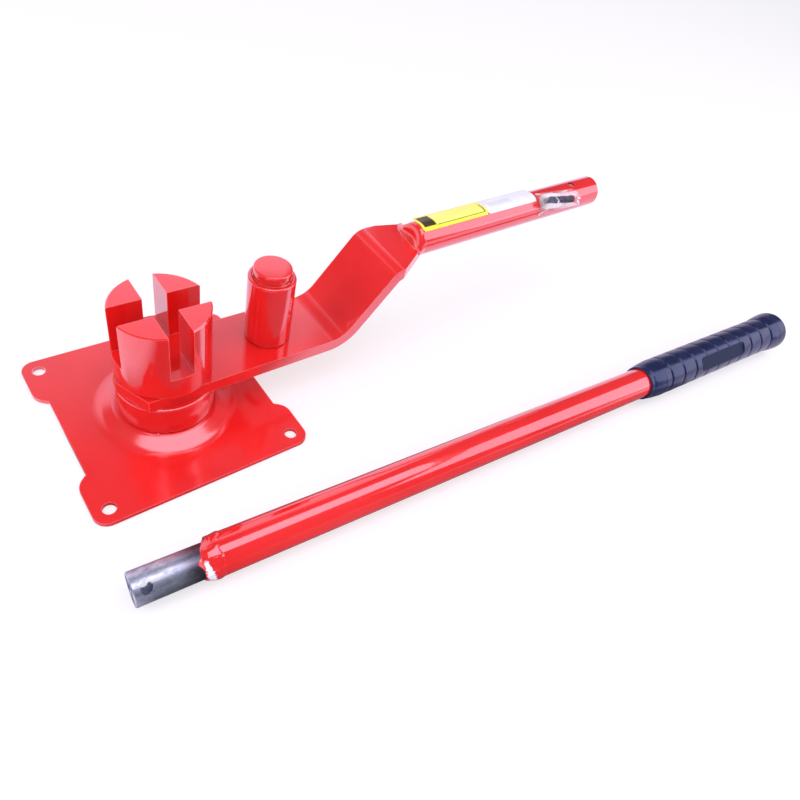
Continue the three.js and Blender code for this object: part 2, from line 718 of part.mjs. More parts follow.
function lever() {
  const group = new THREE.Group();
  group.add(piece("lever_bar", leverBar(), paint()));
  group.add(roller());
  group.add(socket());
  return group;
}

// The handle rests on the ground on its weld bead at one end and on the flare of its grip at the other
function handle() {
  const span = gripStart + GRIP_LENGTH - GRIP_END_ROUND;
  const group = new THREE.Group();
  group.position.set(-HANDLE_BEHIND, HANDLE_SIDE, beadRadius);
  group.rotation.order = "ZYX";
  group.rotation.z = radians(HANDLE_YAW);
  group.rotation.y = -Math.asin((GRIP_FLARE_RADIUS - beadRadius) / span);
  const grip = piece("handle_grip", handleGrip(), rubber());
  grip.position.x = gripStart;
  group.add(piece("handle_spigot", handleSpigot(), bareSteel()));
  group.add(piece("spigot_weld", spigotWeld(), paint()));
  group.add(piece("handle_tube", handleTube(), paint()));
  group.add(grip);
  return group;
}

const bender = new THREE.Group();
bender.name = "rebar_bender";
bender.add(base());
bender.add(lever());
bender.add(handle());

export default bender;
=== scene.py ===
# %% [markdown]
# # A rebar bender, dressed on its own frame
# A hand bender for reinforcing bar has a pressed foot, a slotted head that holds the bar, and a cranked
# lever with a roller that folds the bar round the head. Its long extension handle lies beside it.
# Every rigid piece comes from the CAD frame with its true size. This lesson gives those pieces their paint
# and steel, and builds the pieces that a plain solid can't show: welds, threads, rubber and film.

# %% Load the frame
import math

import bmesh
import bpy
from mathutils import Matrix, Vector, noise


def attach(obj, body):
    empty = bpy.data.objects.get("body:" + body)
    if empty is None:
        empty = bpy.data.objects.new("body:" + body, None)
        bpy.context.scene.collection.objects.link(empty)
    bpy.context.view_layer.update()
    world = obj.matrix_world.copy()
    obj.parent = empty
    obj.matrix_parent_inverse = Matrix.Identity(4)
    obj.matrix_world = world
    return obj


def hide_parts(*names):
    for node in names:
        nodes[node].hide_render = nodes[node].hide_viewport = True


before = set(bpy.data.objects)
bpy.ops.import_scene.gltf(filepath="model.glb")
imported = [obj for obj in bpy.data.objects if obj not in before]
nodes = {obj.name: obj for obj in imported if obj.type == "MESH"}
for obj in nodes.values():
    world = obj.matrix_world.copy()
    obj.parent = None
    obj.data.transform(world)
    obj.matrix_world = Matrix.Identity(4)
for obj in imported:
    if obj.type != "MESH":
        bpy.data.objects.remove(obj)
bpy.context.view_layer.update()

print("nodes:", len(nodes))

# %% [markdown]
# ## The camera first
# A product photograph fixes one viewpoint, so the camera is placed before any look is judged.
# A camera's matrix has its right, up and backward directions as columns, and its place as the last one.
# Working in those directions is surer than turning the camera by three angles, where their order matters.
# The same form of matrix will give the tubes their own frames and aim the lamps.

# %% Camera
CAMERA_PLACE = Vector((-0.14633, -0.37905, 0.47431))
CAMERA_RIGHT = Vector((0.77694763, -0.59070727, 0.21775516))
CAMERA_DOWN = Vector((-0.3231434, -0.67102073, -0.66731516))
LENS_MM = 28.616
SENSOR_MM = 36
SHIFT_RIGHT = 0.0026
SHIFT_UP = -0.0136
NEAREST_SEEN = 0.01


def in_scene(name, data):
    obj = bpy.data.objects.new(name, data)
    bpy.context.scene.collection.objects.link(obj)
    return obj


def axes_at(place, first, second, third):
    return Matrix.Translation(place) @ Matrix((first, second, third)).transposed().to_4x4()

camera_back = -CAMERA_RIGHT.cross(CAMERA_DOWN)
camera = in_scene("camera", bpy.data.cameras.new("camera"))
camera.matrix_world = axes_at(CAMERA_PLACE, CAMERA_RIGHT, -CAMERA_DOWN, camera_back)
camera.data.lens = LENS_MM
camera.data.sensor_width = SENSOR_MM
camera.data.shift_x = SHIFT_RIGHT
camera.data.shift_y = SHIFT_UP
camera.data.clip_start = NEAREST_SEEN
bpy.context.scene.camera = camera
print("the camera looks along", tuple(round(v, 3) for v in -camera_back))

# %% [markdown]
# ## Building materials from nodes
# A material is a small network of nodes, and most of the typing is the same each time.
# One helper adds a node, sets its options, and then sets or links each input by name.
# A number goes straight onto the socket, so that the shader keeps it as a plain constant.

# %% Adding nodes
def put(tree, socket, value):
    if isinstance(value, bpy.types.NodeSocket):
        tree.links.new(value, socket)
    else:
        socket.default_value = value


def add(tree, kind, inputs=None, **settings):
    made = tree.nodes.new(kind)
    for name, value in settings.items():
        setattr(made, name, value)
    for name, value in (inputs or {}).items():
        put(tree, made.inputs[name], value)
    return made


def fresh(name):
    material = bpy.data.materials.new(name)
    material.use_nodes = True
    tree = material.node_tree
    tree.nodes.clear()
    return material, tree


def finish_with(tree, shader):
    add(tree, "ShaderNodeOutputMaterial", {"Surface": shader.outputs[0]})


def principled(tree, inputs):
    finish_with(tree, add(tree, "ShaderNodeBsdfPrincipled", inputs))


def blended(tree, share, first, second):
    made = add(tree, "ShaderNodeMixShader", {0: share})
    tree.links.new(first.outputs[0], made.inputs[1])
    tree.links.new(second.outputs[0], made.inputs[2])
    return made

print("nodes can be added, set and linked")

# %% [markdown]
# ## Places, patterns and mixes
# Every finish here is made of the same few steps: a cloudy pattern, a change of its range, a mix of two
# colours by a share, and a dent in the surface. Short functions for them keep a finish readable, because
# each of its lines then says one thing about the paint, the steel or the rubber.
# Noise seldom leaves the span from 0.3 to 0.7, so a value that varies with it is stretched over that span.
# A Mix node has sockets for every kind of data, so its colour sockets are picked by number.

# %% Places, patterns and mixes
MIX_SHARE, MIX_FIRST, MIX_SECOND, MIX_RESULT = 0, 6, 7, 2
NOISE_LOW, NOISE_HIGH = 0.3, 0.7


def object_place(tree):
    return add(tree, "ShaderNodeTexCoord").outputs["Object"]


def parted(tree, place):
    return add(tree, "ShaderNodeSeparateXYZ", {"Vector": place}).outputs


def stored(tree, name):
    return add(tree, "ShaderNodeAttribute", attribute_name=name).outputs["Fac"]


def speckle(tree, place, scale, detail=2.0, roughness=0.5):
    given = {"Vector": place, "Scale": scale, "Detail": detail, "Roughness": roughness}
    return add(tree, "ShaderNodeTexNoise", given).outputs["Fac"]


def remap(tree, value, low, high, to_low=0.0, to_high=1.0):
    given = {"Value": value, "From Min": low, "From Max": high, "To Min": to_low, "To Max": to_high}
    return add(tree, "ShaderNodeMapRange", given).outputs["Result"]


def varied(tree, pattern, low, high):
    return remap(tree, pattern, NOISE_LOW, NOISE_HIGH, low, high)


def mixed(tree, share, first, second):
    made = add(tree, "ShaderNodeMix", data_type="RGBA")
    put(tree, made.inputs[MIX_SHARE], share)
    put(tree, made.inputs[MIX_FIRST], first)
    put(tree, made.inputs[MIX_SECOND], second)
    return made.outputs[MIX_RESULT]

print("places, patterns and mixes are ready")

# %% [markdown]
# ## Sums, masks and dents
# A mask is a number that is 1 where a mark lies and 0 elsewhere. Two masks are joined by multiplying them,
# and a soft edge comes from a narrow change of range. A bump node turns any such number into a dent, and a
# second bump takes the first one's normal, so that dents add up in a chain.

# %% Sums, masks and dents
MASK_SOFTNESS = 0.004
GRAIN_STRENGTH = 0.5


def sums(tree, operation, *values):
    made = add(tree, "ShaderNodeMath", operation=operation)
    for socket, value in zip(made.inputs, values):
        put(tree, socket, value)
    return made.outputs[0]


def times(tree, first, second):
    return sums(tree, "MULTIPLY", first, second)


def between(tree, operation, first, second):
    made = add(tree, "ShaderNodeVectorMath", operation=operation)
    put(tree, made.inputs[0], first)
    put(tree, made.inputs[1], second)
    return made.outputs["Value"]


def inside(tree, value, low, high, soft=MASK_SOFTNESS):
    above = remap(tree, value, low - soft, low + soft)
    below = remap(tree, value, high + soft, high - soft)
    return times(tree, above, below)


def dented(tree, height, distance, strength=1.0, normal=None):
    given = {"Height": height, "Distance": distance, "Strength": strength}
    if normal is not None:
        given["Normal"] = normal
    return add(tree, "ShaderNodeBump", given).outputs["Normal"]


def grained(tree, place, scale, height):
    return dented(tree, speckle(tree, place, scale), height, GRAIN_STRENGTH)

print("sums, masks and dents are ready")

# %% [markdown]
# ## Red enamel
# The bender is dipped or sprayed in glossy red enamel, which is why its reflections are so clear.
# It thins on sharp edges, where the colour turns a little paler, and that paler edge colour also paints in a
# highlight along the edges. One small dark chip has come off. A bevelled normal is compared with the true
# one to find the edges. The chip is a ball round one place, and noise added to the distance makes its outline
# ragged.

# %% Edges and a chip
# The edge mask finds the edges for thin paint and for a painted highlight along them.
THIN_AND_HIGHLIGHT_EDGE, THIN_AND_HIGHLIGHT_SHARPNESS = 0.0012, 0.86
CHIP_PLACE = Vector((-0.0100, 0.0310, 0.1040))
CHIP_RADIUS = 0.0022
CHIP_SCALE, CHIP_RAGGED = 700.0, 0.0012


def edge_mask(tree, radius, sharpness):
    turned = add(tree, "ShaderNodeBevel", {"Radius": radius}, samples=4).outputs["Normal"]
    true = add(tree, "ShaderNodeNewGeometry").outputs["Normal"]
    return remap(tree, between(tree, "DOT_PRODUCT", turned, true), 1.0, sharpness)


def paint_chip(tree, place):
    ragged = varied(tree, speckle(tree, place, CHIP_SCALE, 3.0), -CHIP_RAGGED, CHIP_RAGGED)
    away = sums(tree, "ADD", between(tree, "DISTANCE", place, CHIP_PLACE), ragged)
    return remap(tree, away, CHIP_RADIUS, CHIP_RADIUS * 0.8)

print("the chip lies", round(CHIP_PLACE.z * 1000), "mm up")

# %% [markdown]
# ## The coat of enamel
# Real enamel isn't perfectly flat: it has a fine orange-peel ripple and slow waves. Two noise heights in one
# bump chain give them, and the clear coat on top takes the same normal, so both layers ripple together.
# The pressed foot is a little less glossy than the rest, so it has its own version.

# %% Red enamel
ENAMEL = (0.80, 0.014, 0.012, 1)
ENAMEL_DEEP = (0.73, 0.009, 0.008, 1)
# The next colour is a paler red for thin paint on edges, and it also paints in a highlight along them.
ENAMEL_THIN_AND_HIGHLIGHT = (0.98, 0.22, 0.21, 1)
# A near-white colour for the bare weld, which also paints in its shine.
BARE_WELD_AND_SHINE = (0.90, 0.89, 0.95, 1)
ENAMEL_GLOSS = 0.05
PRESSED_GLOSS = 0.16
CLOUD_SCALE = 14.0
GRAIN_SCALE = 420.0
WAVE_SCALE, WAVE_HEIGHT = 38.0, 0.00018
PEEL_SCALE, PEEL_HEIGHT = 260.0, 0.00003
CHIP_DEPTH = 0.0004
CHIP_COLOUR = (0.03, 0.02, 0.03, 1)


def red_enamel(name, gloss=ENAMEL_GLOSS, bare_and_shine_patch=None):
    material, tree = fresh(name)
    place = object_place(tree)
    cloud = speckle(tree, place, CLOUD_SCALE, 3.0)
    colour = mixed(tree, remap(tree, cloud, 0.35, 0.65), ENAMEL_DEEP, ENAMEL)
    edge_grain = varied(tree, speckle(tree, place, GRAIN_SCALE), 0.4, 0.8)
    # Paler edges: partly thin paint, partly a painted highlight along the edges.
    thin_and_highlight = times(tree, edge_mask(tree, THIN_AND_HIGHLIGHT_EDGE, THIN_AND_HIGHLIGHT_SHARPNESS), edge_grain)
    colour = mixed(tree, thin_and_highlight, colour, ENAMEL_THIN_AND_HIGHLIGHT)
    chip = paint_chip(tree, place)
    colour = mixed(tree, chip, colour, CHIP_COLOUR)
    normal = dented(tree, speckle(tree, place, WAVE_SCALE, 1.0), WAVE_HEIGHT, 0.35)
    normal = dented(tree, speckle(tree, place, PEEL_SCALE, 1.5), PEEL_HEIGHT, 0.5, normal)
    normal = dented(tree, times(tree, chip, -1.0), CHIP_DEPTH, 1.0, normal)
    rough = sums(tree, "ADD", varied(tree, cloud, 0.10, 0.2), times(tree, chip, 0.4))
    if bare_and_shine_patch:
        colour = mixed(tree, bare_and_shine_patch(tree), colour, BARE_WELD_AND_SHINE)
    principled(tree, {
        "Base Color": colour, "Roughness": rough, "Normal": normal, "IOR": 1.6,
        "Coat Weight": 1.0, "Coat Roughness": gloss, "Coat IOR": 2.0, "Coat Normal": normal,
    })
    return material

enamel = red_enamel("red_enamel")
pressed_enamel = red_enamel("red_enamel_on_pressed_sheet", PRESSED_GLOSS)
print("made", enamel.name, "and", pressed_enamel.name)

# %% [markdown]
# ## The handle's own directions
# Marks on a round tube are easy to place along it and round it, and hard to place in the room's directions.
# So each tube gets a frame: its axis, the way to its back, and the way up, with its mouth as the start.
# A Mapping node can bring a material's coordinates into such a frame, and a second one can squeeze them.

# %% Tube frames
HANDLE_MOUTH = Vector((-0.0388, -0.166, 0.0173))
HANDLE_AXIS = Vector((748.872, -68.153, 7.032)).normalized()


def axis_frame(origin, axis):
    side = Vector((0, 0, 1)).cross(axis).normalized()
    return axes_at(origin, axis, side, axis.cross(side))


def in_frame(tree, frame_matrix):
    back = frame_matrix.inverted()
    given = {"Vector": object_place(tree), "Rotation": back.to_euler(), "Location": back.translation}
    return add(tree, "ShaderNodeMapping", given, vector_type="POINT").outputs["Vector"]


def stretched(tree, place, along, across):
    given = {"Vector": place, "Scale": (along, across, across)}
    return add(tree, "ShaderNodeMapping", given).outputs["Vector"]

handle_frame = axis_frame(HANDLE_MOUTH, HANDLE_AXIS)
print("the handle lies along", tuple(round(v, 3) for v in HANDLE_AXIS))

# %% [markdown]
# ## Bare steel
# The spigot is drawn tube, left unpainted so that it slides into the socket. Drawing leaves fine lines along
# the tube, and the welder's heat has left a brown and violet tint next to the bead.
# Noise that is squeezed across the tube and stretched along it gives the lines. It is made in the handle's
# own frame, or the lines would drift round the tube.

# %% Bare steel
STEEL_DARK = (0.34, 0.41, 0.56, 1)
STEEL_PALE = (0.82, 0.96, 1.0, 1)
DRAWN_LINE = (0.95, 1.0, 1.0, 1)
SCORCHED = (0.09, 0.065, 0.09, 1)
LINES_ALONG, LINES_ACROSS = 30.0, 900.0
BLOTCH_ALONG, BLOTCH_ACROSS = 110.0, 190.0
STEEL_GRAIN_SCALE = 1500.0
STEEL_RELIEF = 0.00005
SCORCH_START, SCORCH_FULL, SCORCH_RAGGED = -0.026, -0.011, 0.006


def bare_steel():
    material, tree = fresh("bare_drawn_steel")
    place = in_frame(tree, handle_frame)
    lines = speckle(tree, stretched(tree, place, LINES_ALONG, LINES_ACROSS), 1.0, 3.0, 0.6)
    blotch = speckle(tree, stretched(tree, place, BLOTCH_ALONG, BLOTCH_ACROSS), 1.0, 5.0, 0.72)
    grain = speckle(tree, place, STEEL_GRAIN_SCALE)
    colour = mixed(tree, remap(tree, blotch, 0.32, 0.68), STEEL_DARK, STEEL_PALE)
    colour = mixed(tree, remap(tree, lines, 0.50, 0.75, 0.0, 0.4), colour, DRAWN_LINE)
    along = parted(tree, place)["X"]
    scorch = sums(tree, "ADD", along, varied(tree, blotch, -SCORCH_RAGGED, SCORCH_RAGGED))
    scorch = remap(tree, scorch, SCORCH_START, SCORCH_FULL, 0.0, 0.85)
    colour = mixed(tree, scorch, colour, SCORCHED)
    height = sums(tree, "ADD", lines, times(tree, grain, 0.35))
    principled(tree, {
        "Base Color": colour, "Metallic": 1.0, "Normal": dented(tree, height, STEEL_RELIEF, 0.6),
        "Roughness": varied(tree, blotch, 0.52, 0.34),
    })
    return material

steel = bare_steel()
print("made", steel.name)

# %% [markdown]
# ## The bare patch of the weld bead and its painted shine
# Paint missed the foot of the spigot's bead on its front side, so a ragged pale strip of bare weld shows
# there, and its near-white colour also paints in the weld's shine.
# It needs no piece of its own. It is a mask in the paint: a band whose middle drifts along the handle with
# the angle round it, wider towards the underside, and roughened with noise.

# %% Bare bead patch with painted shine
PATCH_FOOT = 0.0060
PATCH_DRIFT, PATCH_START_TURN = 0.0021, 0.49
PATCH_TURNS = (0.55, 2.3)
PATCH_TURN_SOFTNESS = 0.1
PATCH_NARROW, PATCH_WIDE = 0.0012, 0.0030
PATCH_SCALE, PATCH_RAGGED = 500.0, 0.0009
PATCH_SOFTNESS = 0.0005


def bare_and_shine_bead_patch(tree):
    place = in_frame(tree, handle_frame)
    parts = parted(tree, place)
    angle = sums(tree, "ARCTAN2", times(tree, parts["Y"], -1.0), parts["Z"])
    ragged = varied(tree, speckle(tree, place, PATCH_SCALE, 3.0), -PATCH_RAGGED, PATCH_RAGGED)
    drift = times(tree, sums(tree, "SUBTRACT", angle, PATCH_START_TURN), PATCH_DRIFT)
    along = sums(tree, "ADD", sums(tree, "ADD", parts["X"], ragged), PATCH_FOOT)
    away = sums(tree, "ABSOLUTE", sums(tree, "SUBTRACT", along, drift))
    wide = remap(tree, angle, 0.5, 1.4, PATCH_NARROW, PATCH_WIDE)
    # The patch is bare weld, and its near-white colour is a painted shine.
    bare_and_shine = remap(tree, sums(tree, "SUBTRACT", wide, away), 0.0, PATCH_SOFTNESS)
    return times(tree, bare_and_shine, inside(tree, angle, *PATCH_TURNS, PATCH_TURN_SOFTNESS))

bead_enamel = red_enamel("red_enamel_on_weld_bead", 0.07, bare_and_shine_bead_patch)
print("made", bead_enamel.name)

# %% [markdown]
# ## Dark bolt steel
# The bolt is oiled and blackened, so it is a dark metal with a soft gloss. The oil lies in patches, which
# changes both its colour and how sharp its reflections are. Its edges are rubbed a little brighter.

# %% Dark steel
OILED_DARK = (0.010, 0.016, 0.045, 1)
OILED_PALE = (0.045, 0.060, 0.13, 1)
RUBBED_EDGE = (0.30, 0.33, 0.42, 1)
RUBBED_WIDTH = 0.0003
OIL_SCALE = 300.0
BOLT_GRAIN_SCALE, BOLT_GRAIN_HEIGHT = 2500.0, 0.00002


def dark_steel():
    material, tree = fresh("blackened_bolt_steel")
    place = object_place(tree)
    oil = speckle(tree, place, OIL_SCALE, 3.0)
    colour = mixed(tree, remap(tree, oil, 0.35, 0.65), OILED_DARK, OILED_PALE)
    colour = mixed(tree, times(tree, edge_mask(tree, RUBBED_WIDTH, 0.8), 0.5), colour, RUBBED_EDGE)
    principled(tree, {
        "Base Color": colour, "Metallic": 0.85, "Roughness": varied(tree, oil, 0.25, 0.45),
        "Normal": grained(tree, place, BOLT_GRAIN_SCALE, BOLT_GRAIN_HEIGHT),
    })
    return material

bolt_steel = dark_steel()
print("made", bolt_steel.name)

# %% [markdown]
# ## Moulded rubber
# The grip is moulded rubber: it has a fine moulded grain, handling has polished it unevenly, and its colour
# is a blue-black that never reaches full black under a bright lamp. The mesh will say how deep each point
# lies in the sunk panel, by an attribute named sunk, and the panel's floor is made darker and rougher.

# %% Grip rubber
RUBBER_DEEP = (0.007, 0.010, 0.042, 1)
RUBBER = (0.012, 0.017, 0.066, 1)
RUBBER_SCUFFED = (0.05, 0.06, 0.15, 1)
RUBBER_SUNK = (0.004, 0.006, 0.024, 1)
RUBBER_SHEEN = (0.50, 0.72, 1.0, 1)
RUBBER_CLOUD_SCALE = 45.0
RUBBER_GRAIN_SCALE, RUBBER_GRAIN_HEIGHT = 1800.0, 0.00003
SCUFF_ALONG, SCUFF_ACROSS = 60.0, 500.0


def grip_rubber():
    material, tree = fresh("moulded_grip_rubber")
    place = in_frame(tree, handle_frame)
    cloud = speckle(tree, place, RUBBER_CLOUD_SCALE, 3.0)
    scuff = speckle(tree, stretched(tree, place, SCUFF_ALONG, SCUFF_ACROSS), 1.0, 3.0)
    colour = mixed(tree, remap(tree, cloud, 0.35, 0.65), RUBBER_DEEP, RUBBER)
    colour = mixed(tree, remap(tree, scuff, 0.58, 0.72, 0.0, 0.2), colour, RUBBER_SCUFFED)
    sunk = stored(tree, "sunk")
    colour = mixed(tree, times(tree, sunk, 0.75), colour, RUBBER_SUNK)
    polished = varied(tree, cloud, 0.19, 0.27)
    principled(tree, {
        "Base Color": colour, "Specular IOR Level": 0.9, "Specular Tint": RUBBER_SHEEN,
        "Normal": grained(tree, place, RUBBER_GRAIN_SCALE, RUBBER_GRAIN_HEIGHT),
        "Roughness": sums(tree, "ADD", polished, times(tree, sunk, 0.5)),
    })
    return material

rubber = grip_rubber()
print("made", rubber.name)

# %% [markdown]
# ## Printed film
# Stickers are printed film under a clear gloss. Their print is drawn with masks on the UV square, which
# keeps it crisp at any size: a mark is a box, given by its span across and its span along the sticker.
# The mesh of each sticker brings the square, and all film is a little creased and unevenly aged.

# %% Film and its marks
BLOT_SCALE = 70.0
CREASE_SCALE, CREASE_HEIGHT = 160.0, 0.00008
PRINT_SOFTNESS = 0.012


def block(tree, across, along, box):
    across_span, along_span = box
    return times(tree, inside(tree, along, *along_span), inside(tree, across, *across_span, PRINT_SOFTNESS))


def film(name, paper, aged):
    material, tree = fresh(name)
    square = add(tree, "ShaderNodeTexCoord").outputs["UV"]
    parts = parted(tree, square)
    blot = speckle(tree, object_place(tree), BLOT_SCALE, 3.0)
    colour = mixed(tree, remap(tree, blot, 0.4, 0.7), paper, aged)
    return material, tree, parts["X"], parts["Y"], colour, blot


def printed(tree, colour, blot):
    principled(tree, {
        "Base Color": colour, "Normal": grained(tree, object_place(tree), CREASE_SCALE, CREASE_HEIGHT),
        "Roughness": varied(tree, blot, 0.28, 0.42), "Coat Weight": 0.4, "Coat Roughness": 0.12,
    })

print("a mark's edge fades over", PRINT_SOFTNESS * 2, "of the sticker's width")

# %% [markdown]
# ## The two prints
# The print is left plain here. The yellow sticker has a dark block, a paler field and a fine border, and the
# white one has a field of pale bars, which are the upper halves of a sine wave along the sticker.

# %% Two printed films
YELLOW_PAPER, YELLOW_AGED = (0.86, 0.82, 0.03, 1), (0.88, 0.85, 0.07, 1)
YELLOW_PALE = (0.92, 0.90, 0.24, 1)
YELLOW_INK = (0.05, 0.04, 0.015, 1)
YELLOW_FIELD = ((0.02, 0.80), (0.22, 0.955))
YELLOW_MARKS = [((0.08, 0.80), (0.035, 0.205)),
                ((0.80, 0.83), (0.22, 0.962)),
                ((0.30, 0.83), (0.953, 0.968))]
WHITE_PAPER, WHITE_AGED = (0.80, 0.83, 0.85, 1), (0.74, 0.78, 0.83, 1)
WHITE_INK = (0.35, 0.36, 0.55, 1)
WHITE_BARS = ((0.34, 0.66), (0.10, 0.52))
BAR_WAVES = 260.0


def yellow_film():
    material, tree, along, across, colour, blot = film("yellow_sticker_film", YELLOW_PAPER, YELLOW_AGED)
    pale = block(tree, across, along, YELLOW_FIELD)
    colour = mixed(tree, times(tree, pale, 0.8), colour, YELLOW_PALE)
    for mark in YELLOW_MARKS:
        colour = mixed(tree, block(tree, across, along, mark), colour, YELLOW_INK)
    printed(tree, colour, blot)
    return material


def white_film():
    material, tree, along, across, colour, blot = film("white_sticker_film", WHITE_PAPER, WHITE_AGED)
    bars = remap(tree, sums(tree, "SINE", times(tree, along, BAR_WAVES)), 0.0, 0.6, 0.0, 0.5)
    field = block(tree, across, along, WHITE_BARS)
    colour = mixed(tree, times(tree, bars, field), colour, WHITE_INK)
    printed(tree, colour, blot)
    return material

yellow = yellow_film()
white = white_film()
print("made", yellow.name, "and", white.name)

# %% [markdown]
# ## Clear bag film
# Thin film barely tints what lies behind it. What the eye sees is its gloss and the white lines where it
# is creased. Light passes straight through, so transparency by alpha is enough and needs no refraction.
# The mesh will carry three numbers per point: how near it is to a crease, how far the film stands off, and
# how much painted glare lies there. Alpha is high along a crease, and a painted haze of reflected light lies
# where the film slopes down from the bolt and, as painted glare, along both sides of the bolt.

# %% Clear film
FILM_COLOUR = (0.97, 0.94, 0.98, 1)
FILM_LEAST = 0.03
FILM_CLOUD_SCALE, FILM_CLOUD = 120.0, (0.2, 1.7)
CRINKLE_SCALE, CRINKLE_HEIGHT = 110.0, 0.00025


def clear_film():
    material, tree = fresh("clear_bag_film")
    place = object_place(tree)
    crease = stored(tree, "crease")
    lift = stored(tree, "lift")
    glare = stored(tree, "glare")
    slope = times(tree, lift, sums(tree, "SUBTRACT", 1.0, lift))
    cloud = remap(tree, speckle(tree, place, FILM_CLOUD_SCALE), 0.35, 0.65, *FILM_CLOUD)
    # Painted reflection: whitish alpha where the film slopes off the bolt.
    reflected_haze = sums(tree, "ADD", times(tree, slope, cloud), FILM_LEAST)
    # Painted glare: whitish alpha beside the bolt, most of all by its head.
    glare_alpha = times(tree, glare, remap(tree, cloud, *FILM_CLOUD, 0.8, 1.05))
    reflected_haze = sums(tree, "MAXIMUM", reflected_haze, glare_alpha)
    alpha = sums(tree, "MAXIMUM", times(tree, crease, 0.95), reflected_haze)
    height = sums(tree, "ADD", crease, speckle(tree, place, CRINKLE_SCALE, 1.0))
    principled(tree, {
        "Base Color": FILM_COLOUR, "Alpha": alpha, "Roughness": 0.12,
        "Normal": dented(tree, height, CRINKLE_HEIGHT, 0.6), "Coat Weight": 0.4, "Coat Roughness": 0.08,
    })
    return material

clear = clear_film()
print("made", clear.name)

# %% [markdown]
# ## Rounding the edges of the CAD pieces
# Nothing painted has a knife edge: the paint alone rounds it, and a rounded edge is what catches light.
# The frame's meshes may not be changed, but modifiers may be added. A small geometry network first joins
# the split vertices and drops the imported normals, and a second one shades smooth below a chosen angle.

# %% Geometry groups
SMOOTH_ANGLE = math.radians(38)
JOIN_WITHIN = 2e-6


def geometry_group(name):
    group = bpy.data.node_groups.new(name, "GeometryNodeTree")
    for way in ("INPUT", "OUTPUT"):
        group.interface.new_socket("Geometry", in_out=way, socket_type="NodeSocketGeometry")
    return group, group.nodes.new("NodeGroupInput"), group.nodes.new("NodeGroupOutput")


def joined_shell():
    group, given, result = geometry_group("joined_shell")
    merge = add(group, "GeometryNodeMergeByDistance", {"Distance": JOIN_WITHIN})
    plain = add(group, "GeometryNodeSetMeshNormal", mode="SHARPNESS")
    plain.inputs["Remove Custom"].default_value = True
    group.links.new(given.outputs[0], merge.inputs["Geometry"])
    group.links.new(merge.outputs["Geometry"], plain.inputs["Mesh"])
    group.links.new(plain.outputs["Mesh"], result.inputs[0])
    return group


def smooth_by_angle():
    group, given, result = geometry_group("smooth_by_angle")
    angle = add(group, "GeometryNodeInputMeshEdgeAngle")
    sharp = add(group, "FunctionNodeCompare", {1: SMOOTH_ANGLE}, operation="GREATER_THAN")
    faces = add(group, "GeometryNodeSetShadeSmooth", domain="FACE")
    edges = add(group, "GeometryNodeSetShadeSmooth", {"Shade Smooth": False}, domain="EDGE")
    group.links.new(given.outputs[0], faces.inputs["Geometry"])
    group.links.new(faces.outputs[0], edges.inputs["Geometry"])
    group.links.new(angle.outputs["Unsigned Angle"], sharp.inputs[0])
    group.links.new(sharp.outputs[0], edges.inputs["Selection"])
    group.links.new(edges.outputs[0], result.inputs[0])
    return group

shell_group = joined_shell()
angle_group = smooth_by_angle()
print("made the groups", shell_group.name, "and", angle_group.name)

# %% [markdown]
# ## One stack of modifiers for every rigid piece
# The imported pieces are made of triangles. Planar dissolve turns these back into whole faces, so that the
# bevel finds only real edges. It rounds them by the width given for each piece, wider on thick bar than on
# thin tube, and weighted normals then keep the flat faces flat.

# %% Edge rounding
FLAT_WITHIN = math.radians(0.6)
ROUND_ABOVE = math.radians(28)
ROUND_SEGMENTS = 4
FACE_WEIGHT = 90
EDGES_MM = {
    "foot_plate": 1.4, "hub_stem_weld": 0.4, "lower_ring": 1.0, "slotted_head": 1.4, "lever_bar": 2.2,
    "roller_pin_weld": 0.4, "roller_sleeve": 0.7, "socket_tube": 0.5, "handle_tube": 0.5,
}
BARE_EDGES_MM = {"hub_stem": 0.5, "handle_spigot": 0.3}


def rounded(name, width_mm, material):
    obj = nodes[name]
    obj.data.materials.clear()
    obj.data.materials.append(material)
    obj.modifiers.new("joined_shell", "NODES").node_group = shell_group
    whole = obj.modifiers.new("whole_faces", "DECIMATE")
    whole.decimate_type = "DISSOLVE"
    whole.angle_limit = FLAT_WITHIN
    soft = obj.modifiers.new("soft_edges", "BEVEL")
    soft.width = width_mm / 1000
    soft.segments = ROUND_SEGMENTS
    soft.limit_method = "ANGLE"
    soft.angle_limit = ROUND_ABOVE
    soft.miter_outer = "MITER_ARC"
    obj.modifiers.new("smooth_by_angle", "NODES").node_group = angle_group
    even = obj.modifiers.new("even_normals", "WEIGHTED_NORMAL")
    even.keep_sharp = True
    even.weight = FACE_WEIGHT

for name, width_mm in EDGES_MM.items():
    rounded(name, width_mm, pressed_enamel if name == "foot_plate" else enamel)
for name, width_mm in BARE_EDGES_MM.items():
    rounded(name, width_mm, steel)
print("rounded", len(EDGES_MM) + len(BARE_EDGES_MM), "CAD pieces")

# %% [markdown]
# ## Pieces drawn ring by ring
# Welds, film, threads and rubber follow the tube that they sit on. Each is drawn in that tube's own frame:
# along it, to its back, and up, with angles that start at its top and grow towards the front.
# Millimetres are easier to read than metres here, so they are converted only when the mesh is made.
# A bell curve makes a soft ridge or groove, and smooth noise rumples a surface without sharp jumps.

# %% Places on a tube
TUBE_FOOT = Vector((0.261771, 0, 0.122285))
TUBE_AXIS = Vector((0.9996573, 0, 0.0261769))
TUBE_RADIUS = 16.85
SKIN = TUBE_RADIUS + 0.3
tube_frame = axis_frame(TUBE_FOOT, TUBE_AXIS)


def around(along, radius, angle):
    return Vector((along, -radius * math.sin(angle), radius * math.cos(angle)))


def spread(low, high, steps):
    return [low + (high - low) * i / steps for i in range(steps + 1)]


def full_turn(steps):
    return spread(0, math.tau, steps)[:-1]


def eased(value):
    value = min(max(value, 0.0), 1.0)
    return value * value * (3 - 2 * value)


